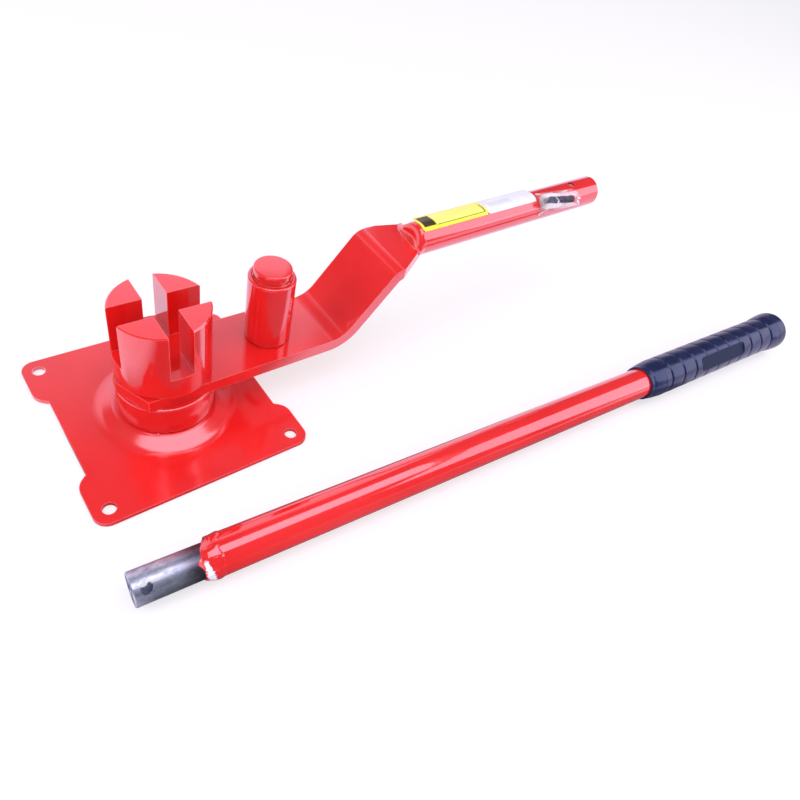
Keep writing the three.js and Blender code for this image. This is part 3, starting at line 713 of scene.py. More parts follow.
def bell(away, width):
    return math.exp(-(away / width) ** 2)


def rumple(x, y, z):
    return noise.noise(Vector((x, y, z)))

print("the socket tube runs along", tuple(round(v, 3) for v in TUBE_AXIS))

# %% [markdown]
# ## From rings to a closed mesh
# A surface is a stack of rings with the same number of points, and quads join each ring to the next one.
# A looped surface joins its last ring to its first. Any other gets a face over each end ring, so that every
# piece is a closed body. Each new piece then rides on a body of the frame and stands for one of its nodes.

# %% Ring surfaces
def ring_faces(rings, count, looped):
    faces = []
    for i in range(rings if looped else rings - 1):
        here, there = i * count, (i + 1) % rings * count
        for j in range(count):
            k = (j + 1) % count
            faces.append((here + j, here + k, there + k, there + j))
    if not looped:
        faces.append(tuple(range(count)))
        faces.append(tuple(range((rings - 1) * count, rings * count)))
    return faces


def placed(name, mesh, material):
    mesh.materials.append(material)
    return in_scene(name, mesh)


def ring_surface(name, rings, frame_matrix, material, looped=False):
    points = [frame_matrix @ (point / 1000) for ring in rings for point in ring]
    mesh = bpy.data.meshes.new(name)
    mesh.from_pydata(points, [], ring_faces(len(rings), len(rings[0]), looped))
    shape = bmesh.new()
    shape.from_mesh(mesh)
    bmesh.ops.recalc_face_normals(shape, faces=shape.faces)
    shape.to_mesh(mesh)
    shape.free()
    mesh.shade_smooth()
    mesh.set_sharp_from_angle(angle=SMOOTH_ANGLE)
    return placed(name, mesh, material)


def stands_for(obj, body, node):
    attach(obj, body)
    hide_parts(node)
    print(obj.name, "stands for", node, "with", len(obj.data.polygons), "faces")

print("a looped stack of 3 rings of 4 points has", len(ring_faces(3, 4, True)), "faces")

# %% [markdown]
# ## The roller's pin
# The pin is turned: a thick shank in the sleeve, a narrow groove just above it, and a cap with a rounded rim.
# The groove hides in the cap's shadow and shows only as a dark line, but that line sets the cap off.
# Its heights are measured from the top of the frame's own pin, so the turned one fits its place exactly.

# %% Roller pin
ROLLER_PLACE = Vector((0.1, 0, 0))
PIN_NECK = 12.0
PIN_SHANK = 17.3
PIN_GROOVE = 15.2
PIN_CAP = 16.9
PIN_SEAT = 15.3
PIN_BREAK = 0.3
SHANK_TOP = -9.0
GROOVE_TOP = -6.2
CAP_BREAK, CAP_ROUND, CAP_STEPS = 0.5, 1.6, 6
CLOSING_RADIUS = 1.0


def pin_profile(foot):
    seat = foot + PIN_SEAT
    profile = [(foot, CLOSING_RADIUS), (foot, PIN_NECK - PIN_BREAK), (foot + PIN_BREAK, PIN_NECK)]
    profile += [(seat, PIN_NECK), (seat, PIN_SHANK - PIN_BREAK), (seat + PIN_BREAK, PIN_SHANK)]
    profile += [(SHANK_TOP - PIN_BREAK, PIN_SHANK), (SHANK_TOP, PIN_SHANK - PIN_BREAK)]
    profile += [(SHANK_TOP, PIN_GROOVE), (GROOVE_TOP, PIN_GROOVE)]
    profile += [(GROOVE_TOP, PIN_CAP - CAP_BREAK), (GROOVE_TOP + CAP_BREAK, PIN_CAP)]
    for turn in spread(0, math.pi / 2, CAP_STEPS):
        profile.append((CAP_ROUND * (math.sin(turn) - 1), PIN_CAP + CAP_ROUND * (math.cos(turn) - 1)))
    profile.append((0.0, CLOSING_RADIUS))
    return profile


def turned_pin():
    cad_pin = nodes["roller_pin"]
    heights = [(cad_pin.matrix_world @ Vector(corner)).z for corner in cad_pin.bound_box]
    top = max(heights)
    profile = pin_profile((min(heights) - top) * 1000)
    circle = full_turn(96)
    rings = [[Vector((r * math.cos(a), r * math.sin(a), z)) for a in circle] for z, r in profile]
    return ring_surface("turned_pin", rings, Matrix.Translation(ROLLER_PLACE + Vector((0, 0, top))), enamel)

stands_for(turned_pin(), "lever", "roller_pin")

# %% [markdown]
# ## The weld bead of the spigot
# A weld is laid down in overlapping puddles, so its surface has close ripples and slower lumps.
# This bead swells over the mouth of the handle tube, starts later at the back than in front, and runs out
# in a tongue of paint. Its section is a short list of shares along the bead with a radius at each, and the
# lumps, the ripples and the late start are added to it ring by ring. Under the tube it is cut off level.

# %% Weld bead of the spigot
SPIGOT_SKIN = 13.5
BEAD_START, BEAD_END = -7.8, 7.0
START_WANDER, END_WANDER = 0.9, 2.2
WANDER_TURN = 3.2
WANDER_APART = Vector((0, 0, 7))
BEAD_SHIFT = 6.5
BEAD_BACK = math.radians(-72)
BEAD_SHAPE = [(0.0, 13.5), (0.0, 14.3), (0.10, 15.0), (0.25, 16.0), (0.42, 16.8), (0.58, 17.3),
              (0.74, 17.5), (0.88, 17.15), (0.96, 16.9), (1.0, 16.75), (1.0, 16.3)]
BEAD_GROUND = 17.28
BEAD_LUMP, BEAD_LUMP_LENGTH, BEAD_LUMP_TURN = 0.75, 5, 1.3
BEAD_RIPPLE, BEAD_PUDDLES, BEAD_BOW = 0.16, 46, 9
TONGUE_ANGLE, TONGUE_WIDTH = math.radians(34), math.radians(13)
TONGUE_REACH, TONGUE_STEP = 3.6, 0.45


def bead_swell(along, share, angle, round_way):
    lump = BEAD_LUMP * noise.noise(Vector((along / BEAD_LUMP_LENGTH, 0, 0)) + round_way * BEAD_LUMP_TURN)
    ripple = BEAD_RIPPLE * math.sin(angle * BEAD_PUDDLES + (share - 0.5) ** 2 * BEAD_BOW)
    return (lump + ripple) * math.sin(math.pi * min(1.0, share + 0.08))


def weld_bead():
    rings = []
    for angle in full_turn(120):
        round_way = Vector((math.sin(angle), math.cos(angle), 0)) * WANDER_TURN
        tongue = TONGUE_REACH * bell(angle - TONGUE_ANGLE, TONGUE_WIDTH)
        late = BEAD_SHIFT * max(0.0, math.cos(angle - BEAD_BACK)) ** 2
        start = BEAD_START + late + START_WANDER * noise.noise(round_way)
        end = BEAD_END + late + END_WANDER * noise.noise(round_way + WANDER_APART)
        ground = BEAD_GROUND / max(0.1, -math.cos(angle))
        ring = [around(start - tongue, SPIGOT_SKIN, angle)]
        ring.append(around(start - tongue * 0.9, SPIGOT_SKIN + TONGUE_STEP, angle))
        for share, radius in BEAD_SHAPE:
            along = start + (end - start) * share
            swollen = radius + bead_swell(along, share, angle, round_way)
            ring.append(around(along, min(swollen, ground), angle))
        rings.append(ring)
    return ring_surface("spigot_weld_bead", rings, handle_frame, bead_enamel, looped=True)

stands_for(weld_bead(), "extension_handle", "spigot_weld")

# %% [markdown]
# ## The weld of the socket
# This weld is a fillet: it closes the tube's end, leaves its rim, and comes down flat onto the bar.
# A curve with its ends pulled along those two directions gives the right hollow shape. Its toe is given as
# a few places round the tube: the turn in degrees, then along, back and up. Above the bar it lies on the
# bar's face, at the bar's edges it turns down, and below it stays close to the tube's end. Averaging five
# near places rounds it.

# %% Weld fillet of the socket
BAR_FACE = -1.0
TOE = [(0, -8.5, 3, BAR_FACE), (30, -10.5, -6, BAR_FACE), (50, -11.5, -11.5, BAR_FACE),
       (70, -10, -16.5, BAR_FACE), (90, -6, -18.5, -3.0), (125, -2.0, -13.5, -10.5),
       (180, -1.2, 0, -12.5), (230, -1.2, 14.0, -8.0), (250, 5, 25, -3.0), (268, 9, 29, -1.6),
       (285, 4, 30, BAR_FACE), (305, -4, 28, BAR_FACE), (335, -8, 15, BAR_FACE)]
TOE_OFFSETS = (-16, -8, 0, 8, 16)
TOE_SUNK = Vector((0, 0, -0.25))
TOE_TUCK = Vector((0.4, 0, -0.5))
RIM_ALONG, RIM_PROUD = 1.6, 0.12
RIM_TUCK_ALONG, RIM_TUCK = 2.6, 0.2
LEAVE_SHARE, FRONT_LEAVE_SHARE, ARRIVE_SHARE = 0.40, 0.15, 0.35
FILLET_LUMP, FILLET_LUMP_LENGTH = 0.3, 9.0
FILLET_RIPPLE, FILLET_RIPPLE_TURN = 0.03, 1.6


def toe_point(angle):
    turn = math.degrees(angle) % 360
    marks = TOE + [(360,) + TOE[0][1:]]
    for first, second in zip(marks, marks[1:]):
        if first[0] <= turn <= second[0]:
            share = eased((turn - first[0]) / (second[0] - first[0]))
            return Vector(first[1:]).lerp(Vector(second[1:]), share)


def smooth_toe(angle):
    near_by = [toe_point(angle + math.radians(offset)) for offset in TOE_OFFSETS]
    return sum(near_by, Vector((0, 0, 0))) / len(near_by)


def fillet_curve(rim, toe, angle, steps):
    reach = (rim - toe).length
    front = eased((math.degrees(angle) - 20) / 40) * (angle < math.pi)
    leave = rim - Vector(((LEAVE_SHARE + FRONT_LEAVE_SHARE * front) * reach, 0, 0))
    flat = Vector((rim.x, rim.y, toe.z)) - toe
    arrive = toe + flat.normalized() * min(ARRIVE_SHARE * reach, flat.length)
    for share in spread(0, 1, steps):
        first, second, third = rim.lerp(leave, share), leave.lerp(arrive, share), arrive.lerp(toe, share)
        yield share, first.lerp(second, share).lerp(second.lerp(third, share), share)


def weld_fillet():
    rings = []
    for angle in full_turn(144):
        rim = around(RIM_ALONG, TUBE_RADIUS + RIM_PROUD, angle)
        toe = smooth_toe(angle) + TOE_SUNK
        outward = Vector((-0.4, -math.sin(angle), math.cos(angle))).normalized()
        ring = [around(RIM_TUCK_ALONG, TUBE_RADIUS - RIM_TUCK, angle)]
        for share, point in fillet_curve(rim, toe, angle, 24):
            lump = FILLET_LUMP * noise.noise(point / FILLET_LUMP_LENGTH)
            ripple = FILLET_RIPPLE * math.sin(point.y * FILLET_RIPPLE_TURN + point.x)
            ring.append(point + outward * (lump + ripple) * math.sin(math.pi * share))
        ring.append(toe + TOE_TUCK)
        rings.append(ring)
    return ring_surface("socket_weld_fillet", rings, tube_frame, enamel, looped=True)

stands_for(weld_fillet(), "lever", "socket_weld")

# %% [markdown]
# ## Stickers
# A sticker is a strip with rounded corners, stuck to the top of the tube. Its back edge has come away and
# stands off straight. The strip keeps a UV square, along it and across it, for its printed marks.
# A Solidify modifier gives it the thickness of film, so that it is a closed body with real edges.

# %% Sticker shape
LIFT_ANGLE = math.radians(10)
FRONT_ANGLE = math.radians(34.5)
FLAP = 9.5
CORNER = 2.5
FILM_STAND = 0.05
CURL, CURL_LENGTH, CURL_ROW = 0.35, 18, 3.1
sticker_width = FLAP + (LIFT_ANGLE + FRONT_ANGLE) * SKIN


def sticker_point(along, across):
    across -= FLAP
    if across >= 0:
        return around(along, SKIN + FILM_STAND, across / SKIN - LIFT_ANGLE)
    curl = CURL * rumple(along / CURL_LENGTH, CURL_ROW, 0) * (across / FLAP) ** 2
    edge = around(along, SKIN + FILM_STAND + curl, -LIFT_ANGLE)
    return edge + Vector((0, -across * math.cos(LIFT_ANGLE), across * math.sin(LIFT_ANGLE)))


def corner_trim(along, length):
    inset = CORNER - min(CORNER, along, length - along)
    return CORNER - math.sqrt(CORNER ** 2 - inset ** 2)

print("a sticker is", round(sticker_width, 1), "mm wide")

# %% [markdown]
# ## The two stickers
# A grid of points is laid over the strip, and its first and last rows are trimmed to round the corners.
# The yellow sticker comes first, next to the weld, and the white one follows it along the tube. The helper
# that turns such a grid into a thin sheet will serve for the clear bag as well.

# %% Stickers
STICKER_STEPS = (72, 24)
STICKER_FILM_MM = 0.22
YELLOW_START, YELLOW_LENGTH = 1.6, 90.0
WHITE_START, WHITE_LENGTH = 91.8, 75.8


def film_sheet(name, points, count, material, thickness_mm, side):
    starts = [row + j for row in range(0, len(points) - count, count) for j in range(count - 1)]
    mesh = bpy.data.meshes.new(name)
    mesh.from_pydata(points, [], [(here, here + count, here + count + 1, here + 1) for here in starts])
    mesh.shade_smooth()
    obj = placed(name, mesh, material)
    body = obj.modifiers.new("film_thickness", "SOLIDIFY")
    body.thickness = thickness_mm / 1000
    body.offset = side
    return obj


def sticker(name, start, length, material):
    steps_along, steps_across = STICKER_STEPS
    points, squares = [], []
    for along in spread(0, length, steps_along):
        trim = corner_trim(along, length)
        for across in spread(trim, sticker_width - trim, steps_across):
            points.append(tube_frame @ (sticker_point(start + along, across) / 1000))
            squares.append((along / length, across / sticker_width))
    obj = film_sheet(name, points, steps_across + 1, material, STICKER_FILM_MM, -1)
    layer = obj.data.uv_layers.new(name="UVMap")
    for loop in obj.data.loops:
        layer.data[loop.index].uv = squares[loop.vertex_index]
    return obj

yellow_sticker = sticker("yellow_sticker", YELLOW_START, YELLOW_LENGTH, yellow)
white_sticker = sticker("white_sticker", WHITE_START, WHITE_LENGTH, white)
stands_for(yellow_sticker, "lever", "yellow_label")
stands_for(white_sticker, "lever", "white_label")

# %% [markdown]
# ## Bolt and nut
# A machined hexagon has its corners turned off at a slant. Taking the smaller of the hexagon's radius and a
# cone's radius at each height gives exactly that cut. The thread is one more radius rule: it rises and falls
# with the distance along the bolt, and the turn angle shifts it, which winds it into a helix.

# %% Hexagons
BOLT_SPAN = 45.3
FLAT_RADIUS = 6.5
BOLT_TURN = math.radians(52)
BOLT_SKEW = math.radians(7)
BOLT_ALONG = 196.75
CHAMFER_STEPS = (0.0, 0.25, 0.55, 0.9)
CHAMFER_DEPTH, CHAMFER_SLOPE = 0.25, 1.73
bolt_middle = around(BOLT_ALONG, SKIN + FLAT_RADIUS, BOLT_TURN)
bolt_turned = Matrix.Rotation(BOLT_TURN, 4, "X") @ Matrix.Rotation(-BOLT_SKEW, 4, "Z")
bolt_frame = tube_frame @ Matrix.Translation(bolt_middle / 1000) @ bolt_turned
turns = full_turn(48)


def hex_radius(angle):
    side_turn = math.pi / 3
    return FLAT_RADIUS / math.cos((angle + side_turn / 2) % side_turn - side_turn / 2)


def hex_ring(along, to_end):
    cone = FLAT_RADIUS - CHAMFER_DEPTH + CHAMFER_SLOPE * to_end
    return [around(along - BOLT_SPAN / 2, min(hex_radius(angle), cone), angle) for angle in turns]


def hex_rings(start, length, turned_both_ends):
    rings = [hex_ring(start + step, step) for step in CHAMFER_STEPS]
    for step in reversed(CHAMFER_STEPS):
        rings.append(hex_ring(start + length - step, step if turned_both_ends else length))
    return rings


def plain_ring(along, radius):
    return [around(along - BOLT_SPAN / 2, radius, angle) for angle in turns]

print("the hexagon is", round(2 * hex_radius(math.pi / 6), 1), "mm over its corners")

# %% [markdown]
# ## Head, thread and nut
# The bolt is one stack of rings, from the slanted face of its head to the last turn of its thread, where the
# thread runs out. The nut is a looped stack, because its last ring lies in the bore and meets the first.

# %% Bolt and nut
BOLT_RADIUS = 4.0
THREAD_PITCH = 1.25
THREAD_DEPTH = 0.55
THREAD_STEPS = 160
RUN_OUT_LENGTH, RUN_OUT_SHARE = 1.2, 0.14
HEAD_LENGTH = 5.3
NUT_START = 5.6
NUT_LENGTH = 6.5
BORE_PLAY, BORE_CHAMFER = 0.25, 0.5


def thread_radius(along, angle):
    wave = (along / THREAD_PITCH - angle / math.tau) % 1.0
    run_out = min(1.0, (BOLT_SPAN - along) / RUN_OUT_LENGTH)
    whole = BOLT_RADIUS - THREAD_DEPTH * abs(2 * wave - 1)
    return whole * (1 - RUN_OUT_SHARE + RUN_OUT_SHARE * run_out)


def threaded_bolt():
    rings = hex_rings(0.0, HEAD_LENGTH, False)
    rings.append(plain_ring(HEAD_LENGTH, BOLT_RADIUS))
    for along in spread(HEAD_LENGTH + 0.2, BOLT_SPAN, THREAD_STEPS):
        rings.append([around(along - BOLT_SPAN / 2, thread_radius(along, angle), angle) for angle in turns])
    return ring_surface("threaded_bolt", rings, bolt_frame, bolt_steel)


def chamfered_nut():
    bore = BOLT_RADIUS + BORE_PLAY
    end = NUT_START + NUT_LENGTH
    rings = [plain_ring(NUT_START, bore + BORE_CHAMFER)] + hex_rings(NUT_START, NUT_LENGTH, True)
    rings += [plain_ring(end, bore + BORE_CHAMFER), plain_ring(end - BORE_CHAMFER, bore)]
    rings.append(plain_ring(NUT_START + BORE_CHAMFER, bore))
    return ring_surface("chamfered_nut", rings, bolt_frame, bolt_steel, looped=True)

stands_for(threaded_bolt(), "lever", "locking_bolt")
stands_for(chamfered_nut(), "lever", "locking_nut")

# %% [markdown]
# ## How the clear bag stands and creases
# The little bag is film that clings to the tube and stands up over the bolt. Its height at each place is the
# height of what lies under it, and creases run from the bolt's ends to the bag's corners. A crease is a line
# between two places, each given along the tube and in degrees round it, with a weight for how white it is.
# A painted glare of reflected light lies along both sides of the bolt, and most of all by its head.

# %% Bag heights and creases
BAG_START, BAG_END = 169.4, 233.4
BAG_CREASES = [((185, 53), (166, 98), 1.0), ((171, 6), (181, 38), 0.9), ((181, 38), (186, 52), 0.6),
               ((186, 36), (208, 30), 0.35), ((208, 30), (219, 27), 0.9), ((205, 44), (211, 33), 0.9),
               ((219, 40), (232, 50), 0.9), ((218, 62), (230, 84), 0.9), ((219, 56), (230, 62), 0.7)]
CREASE_WIDTH, CREASE_WOBBLE = 0.55, 0.35
ARCH_RADIUS, ARCH_SHARE = 8.3, 0.93
TENT_HEIGHT, TENT_WIDTH = 12.5, 9.0
FILM_OFF = 0.25
START_PINCH_SHARE, END_PINCH_SHARE = 0.08, 0.16
GLARE_WOBBLE = 0.8
GLARE_NEAR, GLARE_FAR = 2.4, 10.5
GLARE_END, GLARE_HEAD = 222, 194
bolt_height = bolt_middle.yz.length


def off_bolt(along, angle):
    return angle - BOLT_TURN - math.tan(BOLT_SKEW) * (along - bolt_middle.x) / bolt_height


def skin_place(along, degrees):
    return Vector((along, math.radians(degrees) * SKIN))


def crease_at(along, degrees):
    best = 0.0
    here = skin_place(along, degrees)
    wobble = CREASE_WOBBLE * rumple(along / 6, degrees / 18, 0)
    for start, end, weight in BAG_CREASES:
        first = skin_place(*start)
        way = skin_place(*end) - first
        share = min(max((here - first).dot(way) / way.length_squared, 0), 1)
        away = (here - first - way * share).length + wobble
        best = max(best, weight * bell(away, CREASE_WIDTH))
    return best


# Painted glare: how much whitish reflected light shows beside the bolt, most of all by its head.
def glare_at(along, angle):
    wobble = GLARE_WOBBLE * rumple(along / 5, 0, angle * 4)
    sideways = abs(bolt_height * off_bolt(along, angle)) + wobble
    beside = eased((sideways - GLARE_NEAR) / 1.4) * eased((GLARE_FAR - sideways) / 3.5)
    ends = eased((along - BAG_START - 0.5) / 4) * eased((GLARE_END - along) / 6)
    return beside * ends * (0.5 + 0.38 * eased((GLARE_HEAD - along) / 8))


def bag_height(along, angle):
    share = (along - BAG_START) / (BAG_END - BAG_START)
    away = off_bolt(along, angle)
    sideways = bolt_height * math.sin(away)
    arch = 0.0
    if abs(sideways) < ARCH_RADIUS and abs(away) < 1:
        over = math.sqrt(ARCH_RADIUS ** 2 - sideways ** 2)
        arch = bolt_height * math.cos(away) + over * ARCH_SHARE
    tent = SKIN + TENT_HEIGHT * bell(away * bolt_height, TENT_WIDTH)
    pinch = eased(share / START_PINCH_SHARE) * eased((1 - share) / END_PINCH_SHARE)
    return SKIN + FILM_OFF + (max(arch, tent) - SKIN) * pinch

print("the bag stands", round(bag_height(BOLT_ALONG, BOLT_TURN) - SKIN, 1), "mm off the tube over the bolt")

# %% [markdown]
# ## The clear bag
# One grid of points covers the bag, from its top edge to its foot. The foot rises and the top edge sinks a
# little towards the tube's mouth. What the material needs to know is stored on the mesh, as attributes.

# %% Clear bag
BAG_STEPS = (150, 84)
TOP_EDGE = (5, 27)
FOOT_EDGE = (99, 89)
EDGE_WAVER = 0.6
CRINKLE = 0.5
CREASE_RIDGE = 0.7
LIFT_FULL = 14.0
BAG_FILM_MM = 0.12


def bag_points():
    steps_along, steps_round = BAG_STEPS
    for share in spread(0, 1, steps_along):
        top = TOP_EDGE[0] + (TOP_EDGE[1] - TOP_EDGE[0]) * share
        foot = FOOT_EDGE[0] + (FOOT_EDGE[1] - FOOT_EDGE[0]) * share
        for degrees in spread(top, foot, steps_round):
            waver = EDGE_WAVER * rumple(0, degrees / 20, 2)
            yield BAG_START + (BAG_END - BAG_START) * share + waver, degrees


def clear_bag():
    points, stored_values = [], {"crease": [], "lift": [], "glare": []}
    for along, degrees in bag_points():
        angle = math.radians(degrees)
        crease = crease_at(along, degrees)
        crinkle = CRINKLE * rumple(along / 12, degrees / 30, 1) ** 2
        height = bag_height(along, angle)
        film_height = height + crinkle + CREASE_RIDGE * crease
        points.append(tube_frame @ (around(along, film_height, angle) / 1000))
        stored_values["crease"].append(crease)
        stored_values["lift"].append(min(1.0, (height - SKIN) / LIFT_FULL))
        stored_values["glare"].append(glare_at(along, angle))
    obj = film_sheet("crinkled_bag", points, BAG_STEPS[1] + 1, clear, BAG_FILM_MM, 1)
    for attribute, values in stored_values.items():
        obj.data.attributes.new(attribute, "FLOAT", "POINT").data.foreach_set("value", values)
    return obj

stands_for(clear_bag(), "lever", "bolt_bag")

# %% [markdown]
# ## The grip's outline
# The grip is one rubber moulding. Its outside is a radius rule again: a lip at the mouth, bands that bulge
# a little between narrow grooves, a flare, and a rounded end. A dip is a bell curve taken off the radius,
# which gives the soft shoulders of a moulded groove.

# %% Grip outline
GRIP_START, GRIP_LENGTH = 501.0, 273.0
MOUTH_RADIUS, MOUTH_LENGTH = 19.05, 26.0
SHOULDER_RADIUS, HEEL_RADIUS = 21.6, 22.0
FLARE, FLARE_LENGTH = 2.5, 28.9
FIRST_GROOVE, LAST_GROOVE, GROOVES = 34.0, 240.1, 10
GROOVE_DEPTH, GROOVE_WIDTH = 1.15, 0.85
LIP_PLACE, LIP_DEPTH, LIP_WIDTH = 4.2, 0.325, 1.6
HEEL_LINE, HEEL_LINE_DEPTH, HEEL_LINE_WIDTH = 256.0, 0.35, 0.7
BAND_BULGE, BAND_ROUND, BAND_DROP = 0.28, 0.7, 0.1
groove_pitch = (LAST_GROOVE - FIRST_GROOVE) / (GROOVES - 1)


def quarter_wave(share):
    return math.sin(min(1.0, share) * math.pi / 2)


def grip_radius(along):
    if along < MOUTH_LENGTH:
        radius = MOUTH_RADIUS + (SHOULDER_RADIUS - MOUTH_RADIUS) * quarter_wave(along / MOUTH_LENGTH)
        radius -= LIP_DEPTH * bell(along - LIP_PLACE, LIP_WIDTH)
    elif along < LAST_GROOVE:
        share = (along - MOUTH_LENGTH) / (LAST_GROOVE - MOUTH_LENGTH)
        radius = SHOULDER_RADIUS + (HEEL_RADIUS - SHOULDER_RADIUS) * share
    else:
        radius = HEEL_RADIUS + FLARE * quarter_wave((along - LAST_GROOVE) / FLARE_LENGTH)
    phase = (along - FIRST_GROOVE) / groove_pitch
    nearest = min(max(round(phase), 0), GROOVES - 1)
    if -0.5 < phase < GROOVES - 0.2:
        radius += BAND_BULGE * math.sin(math.pi * (phase % 1.0)) ** BAND_ROUND - BAND_DROP
    radius -= GROOVE_DEPTH * bell((phase - nearest) * groove_pitch, GROOVE_WIDTH)
    return radius - HEEL_LINE_DEPTH * bell(along - HEEL_LINE, HEEL_LINE_WIDTH)

print("the grip's grooves lie", round(groove_pitch, 1), "mm apart")

# %% [markdown]
# ## The grip's sunk panel
# The panel is a rounded rectangle on the grip's side. A signed distance to its outline, below zero inside
# and above zero outside, tells how deep the rubber is there. Its floor is flat and is left bare.

# %% Grip panel
PANEL_MIDDLE = 134.0
PANEL_HALF = (44.0, 8.5)
PANEL_CORNER = 5.5
PANEL_TURN = math.radians(50)
PANEL_TURN_LIMIT = 0.6
PANEL_FLOOR = 20.0
PANEL_WALL = 0.9


def panel_share(along, radius, angle):
    """How deep a point lies in the panel: 0 on the grip's own surface, 1 on the panel's floor."""
    turn = math.remainder(angle - PANEL_TURN, math.tau)
    if abs(turn) > PANEL_TURN_LIMIT:
        return 0.0
    x = abs(along - PANEL_MIDDLE) - PANEL_HALF[0] + PANEL_CORNER
    y = abs(radius * math.sin(turn)) - PANEL_HALF[1] + PANEL_CORNER
    outside = math.hypot(max(x, 0), max(y, 0)) + min(max(x, y), 0) - PANEL_CORNER
    return eased(0.5 - outside / PANEL_WALL)


def panel_depth(along, radius, angle):
    share = panel_share(along, radius, angle)
    floor = PANEL_FLOOR / math.cos(math.remainder(angle - PANEL_TURN, math.tau)) if share else radius
    return radius + (floor - radius) * share

print("the panel is", 2 * PANEL_HALF[0], "by", 2 * PANEL_HALF[1], "mm")

# %% [markdown]
# ## The grip as one moulding
# The stack starts inside the bore, turns round the lip at the mouth, follows the outside to the rounded heel,
# and ends in the shallow dish of the closed end. How deep each point lies in the panel is stored with it.

# %% Ribbed grip
GRIP_TURNS = full_turn(160)
GRIP_BORE = TUBE_RADIUS + 0.08
BORE_SHOWN = 40
MOUTH_ROUND = ((0.8, 0.0), (0.25, 0.4), (0.0, 1.0))
FIRST_RING, OUTSIDE_RINGS = 0.35, 400
END_ROUND = 4.0
END_RADIUS = HEEL_RADIUS + FLARE
END_DISH = ((17.0, 0.0), (15.8, 0.8), (8.0, 0.8), (1.0, 0.8))


def grip_ring(along, radius):
    return [around(GRIP_START + along, radius, angle) for angle in GRIP_TURNS]


def ribbed_grip():
    rings = [grip_ring(BORE_SHOWN, GRIP_BORE)]
    rings += [grip_ring(along, GRIP_BORE + out) for along, out in MOUTH_ROUND]
    for along in spread(FIRST_RING, GRIP_LENGTH - END_ROUND, OUTSIDE_RINGS):
        radius = grip_radius(along)
        ring = [around(GRIP_START + along, panel_depth(along, radius, angle), angle) for angle in GRIP_TURNS]
        rings.append(ring)
    for turn in spread(0.2, math.pi / 2, 7):
        along = GRIP_LENGTH - END_ROUND * (1 - math.sin(turn))
        rings.append(grip_ring(along, END_RADIUS - END_ROUND * (1 - math.cos(turn))))
    rings += [grip_ring(GRIP_LENGTH - sunk, radius) for radius, sunk in END_DISH]
    return ring_surface("ribbed_grip", rings, handle_frame, rubber)


def store_sunk(grip):
    to_handle = handle_frame.inverted()
    sunk = []
    for vertex in grip.data.vertices:
        place = to_handle @ vertex.co * 1000
        radius = place.yz.length
        share = panel_share(place.x - GRIP_START, radius, math.atan2(-place.y, place.z))
        sunk.append(share if radius > PANEL_FLOOR - 1 else 0.0)
    grip.data.attributes.new("sunk", "FLOAT", "POINT").data.foreach_set("value", sunk)

grip = ribbed_grip()
store_sunk(grip)
stands_for(grip, "extension_handle", "handle_grip")

# %% [markdown]
# ## A drop of paint
# Enamel that ran down the lower ring has set as a small bead at its foot. Such a slip is easy to leave out,
# and it is one of the things that make a painted tool look real. It is a flattened ball, a little wider one
# way than the other. As part of the foot's paint, it rides on the same body and stands for no node.

# %% Paint drop
DROP_PLACE = Vector((-22.4, -35.9, 11.1))
DROP_RADIUS = 1.1
DROP_FLATTENING = 0.8
DROP_WIDER, DROP_WIDER_TURN = 0.25, 0.6
DROP_SPAN = (-1.2, 1.45)


def paint_drop():
    rings = []
    for turn in spread(*DROP_SPAN, 8):
        radius = DROP_RADIUS * math.cos(turn)
        height = DROP_RADIUS * math.sin(turn) * DROP_FLATTENING
        ring = []
        for angle in full_turn(20):
            wide = radius * (1 + DROP_WIDER * math.cos(angle - DROP_WIDER_TURN) ** 2)
            ring.append(DROP_PLACE + Vector((wide * math.cos(angle), wide * math.sin(angle), height)))
        rings.append(ring)
    return ring_surface("paint_drop", rings, Matrix.Identity(4), enamel)

drop = paint_drop()
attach(drop, "base")
print("the drop lies", round(DROP_PLACE.xy.length, 1), "mm from the axis")

# %% [markdown]
# ## The floor
# The studio is a white floor that keeps the object's shadow. Glossy enamel shows what stands round it, so
# the floor has a layout of its own for reflections: it is bright, but dark in front of the lever, where the
# handle lies. That gives the tubes and the sides of the head their deep red.
# The Light Path node tells the camera's view, a reflection and plain lighting apart.

# %% Floor
DAYLIGHT = (0.96, 0.80, 1.0, 1)
TO_FRONT = (-0.36, -0.93, 0.0)
FLOOR_HALF = 6.0
FLOOR_DEPTH = 0.0006
FLOOR_WHITE = (0.9, 0.9, 0.9, 1)
FLOOR_DARK = (0.05, 0.05, 0.06, 1)
DARK_AHEAD = (0.012, 0.030)
DARK_SPAN, DARK_SOFTNESS = (-0.10, 0.56), 0.02
DIM_SPAN, DIM_LEVELS = (-0.06, 0.08), (0.04, 0.15)
SHADOW_SHARE = 0.4


def one_minus(tree, value):
    return sums(tree, "SUBTRACT", 1.0, value)


def bright_in_mirrors(tree):
    place = add(tree, "ShaderNodeNewGeometry").outputs["Position"]
    ahead = remap(tree, between(tree, "DOT_PRODUCT", place, TO_FRONT), *DARK_AHEAD)
    across = between(tree, "DOT_PRODUCT", place, (1, 0, 0))
    close = inside(tree, across, *DARK_SPAN, DARK_SOFTNESS)
    dim = remap(tree, across, *DIM_SPAN, *DIM_LEVELS)
    return one_minus(tree, times(tree, times(tree, ahead, close), one_minus(tree, dim)))


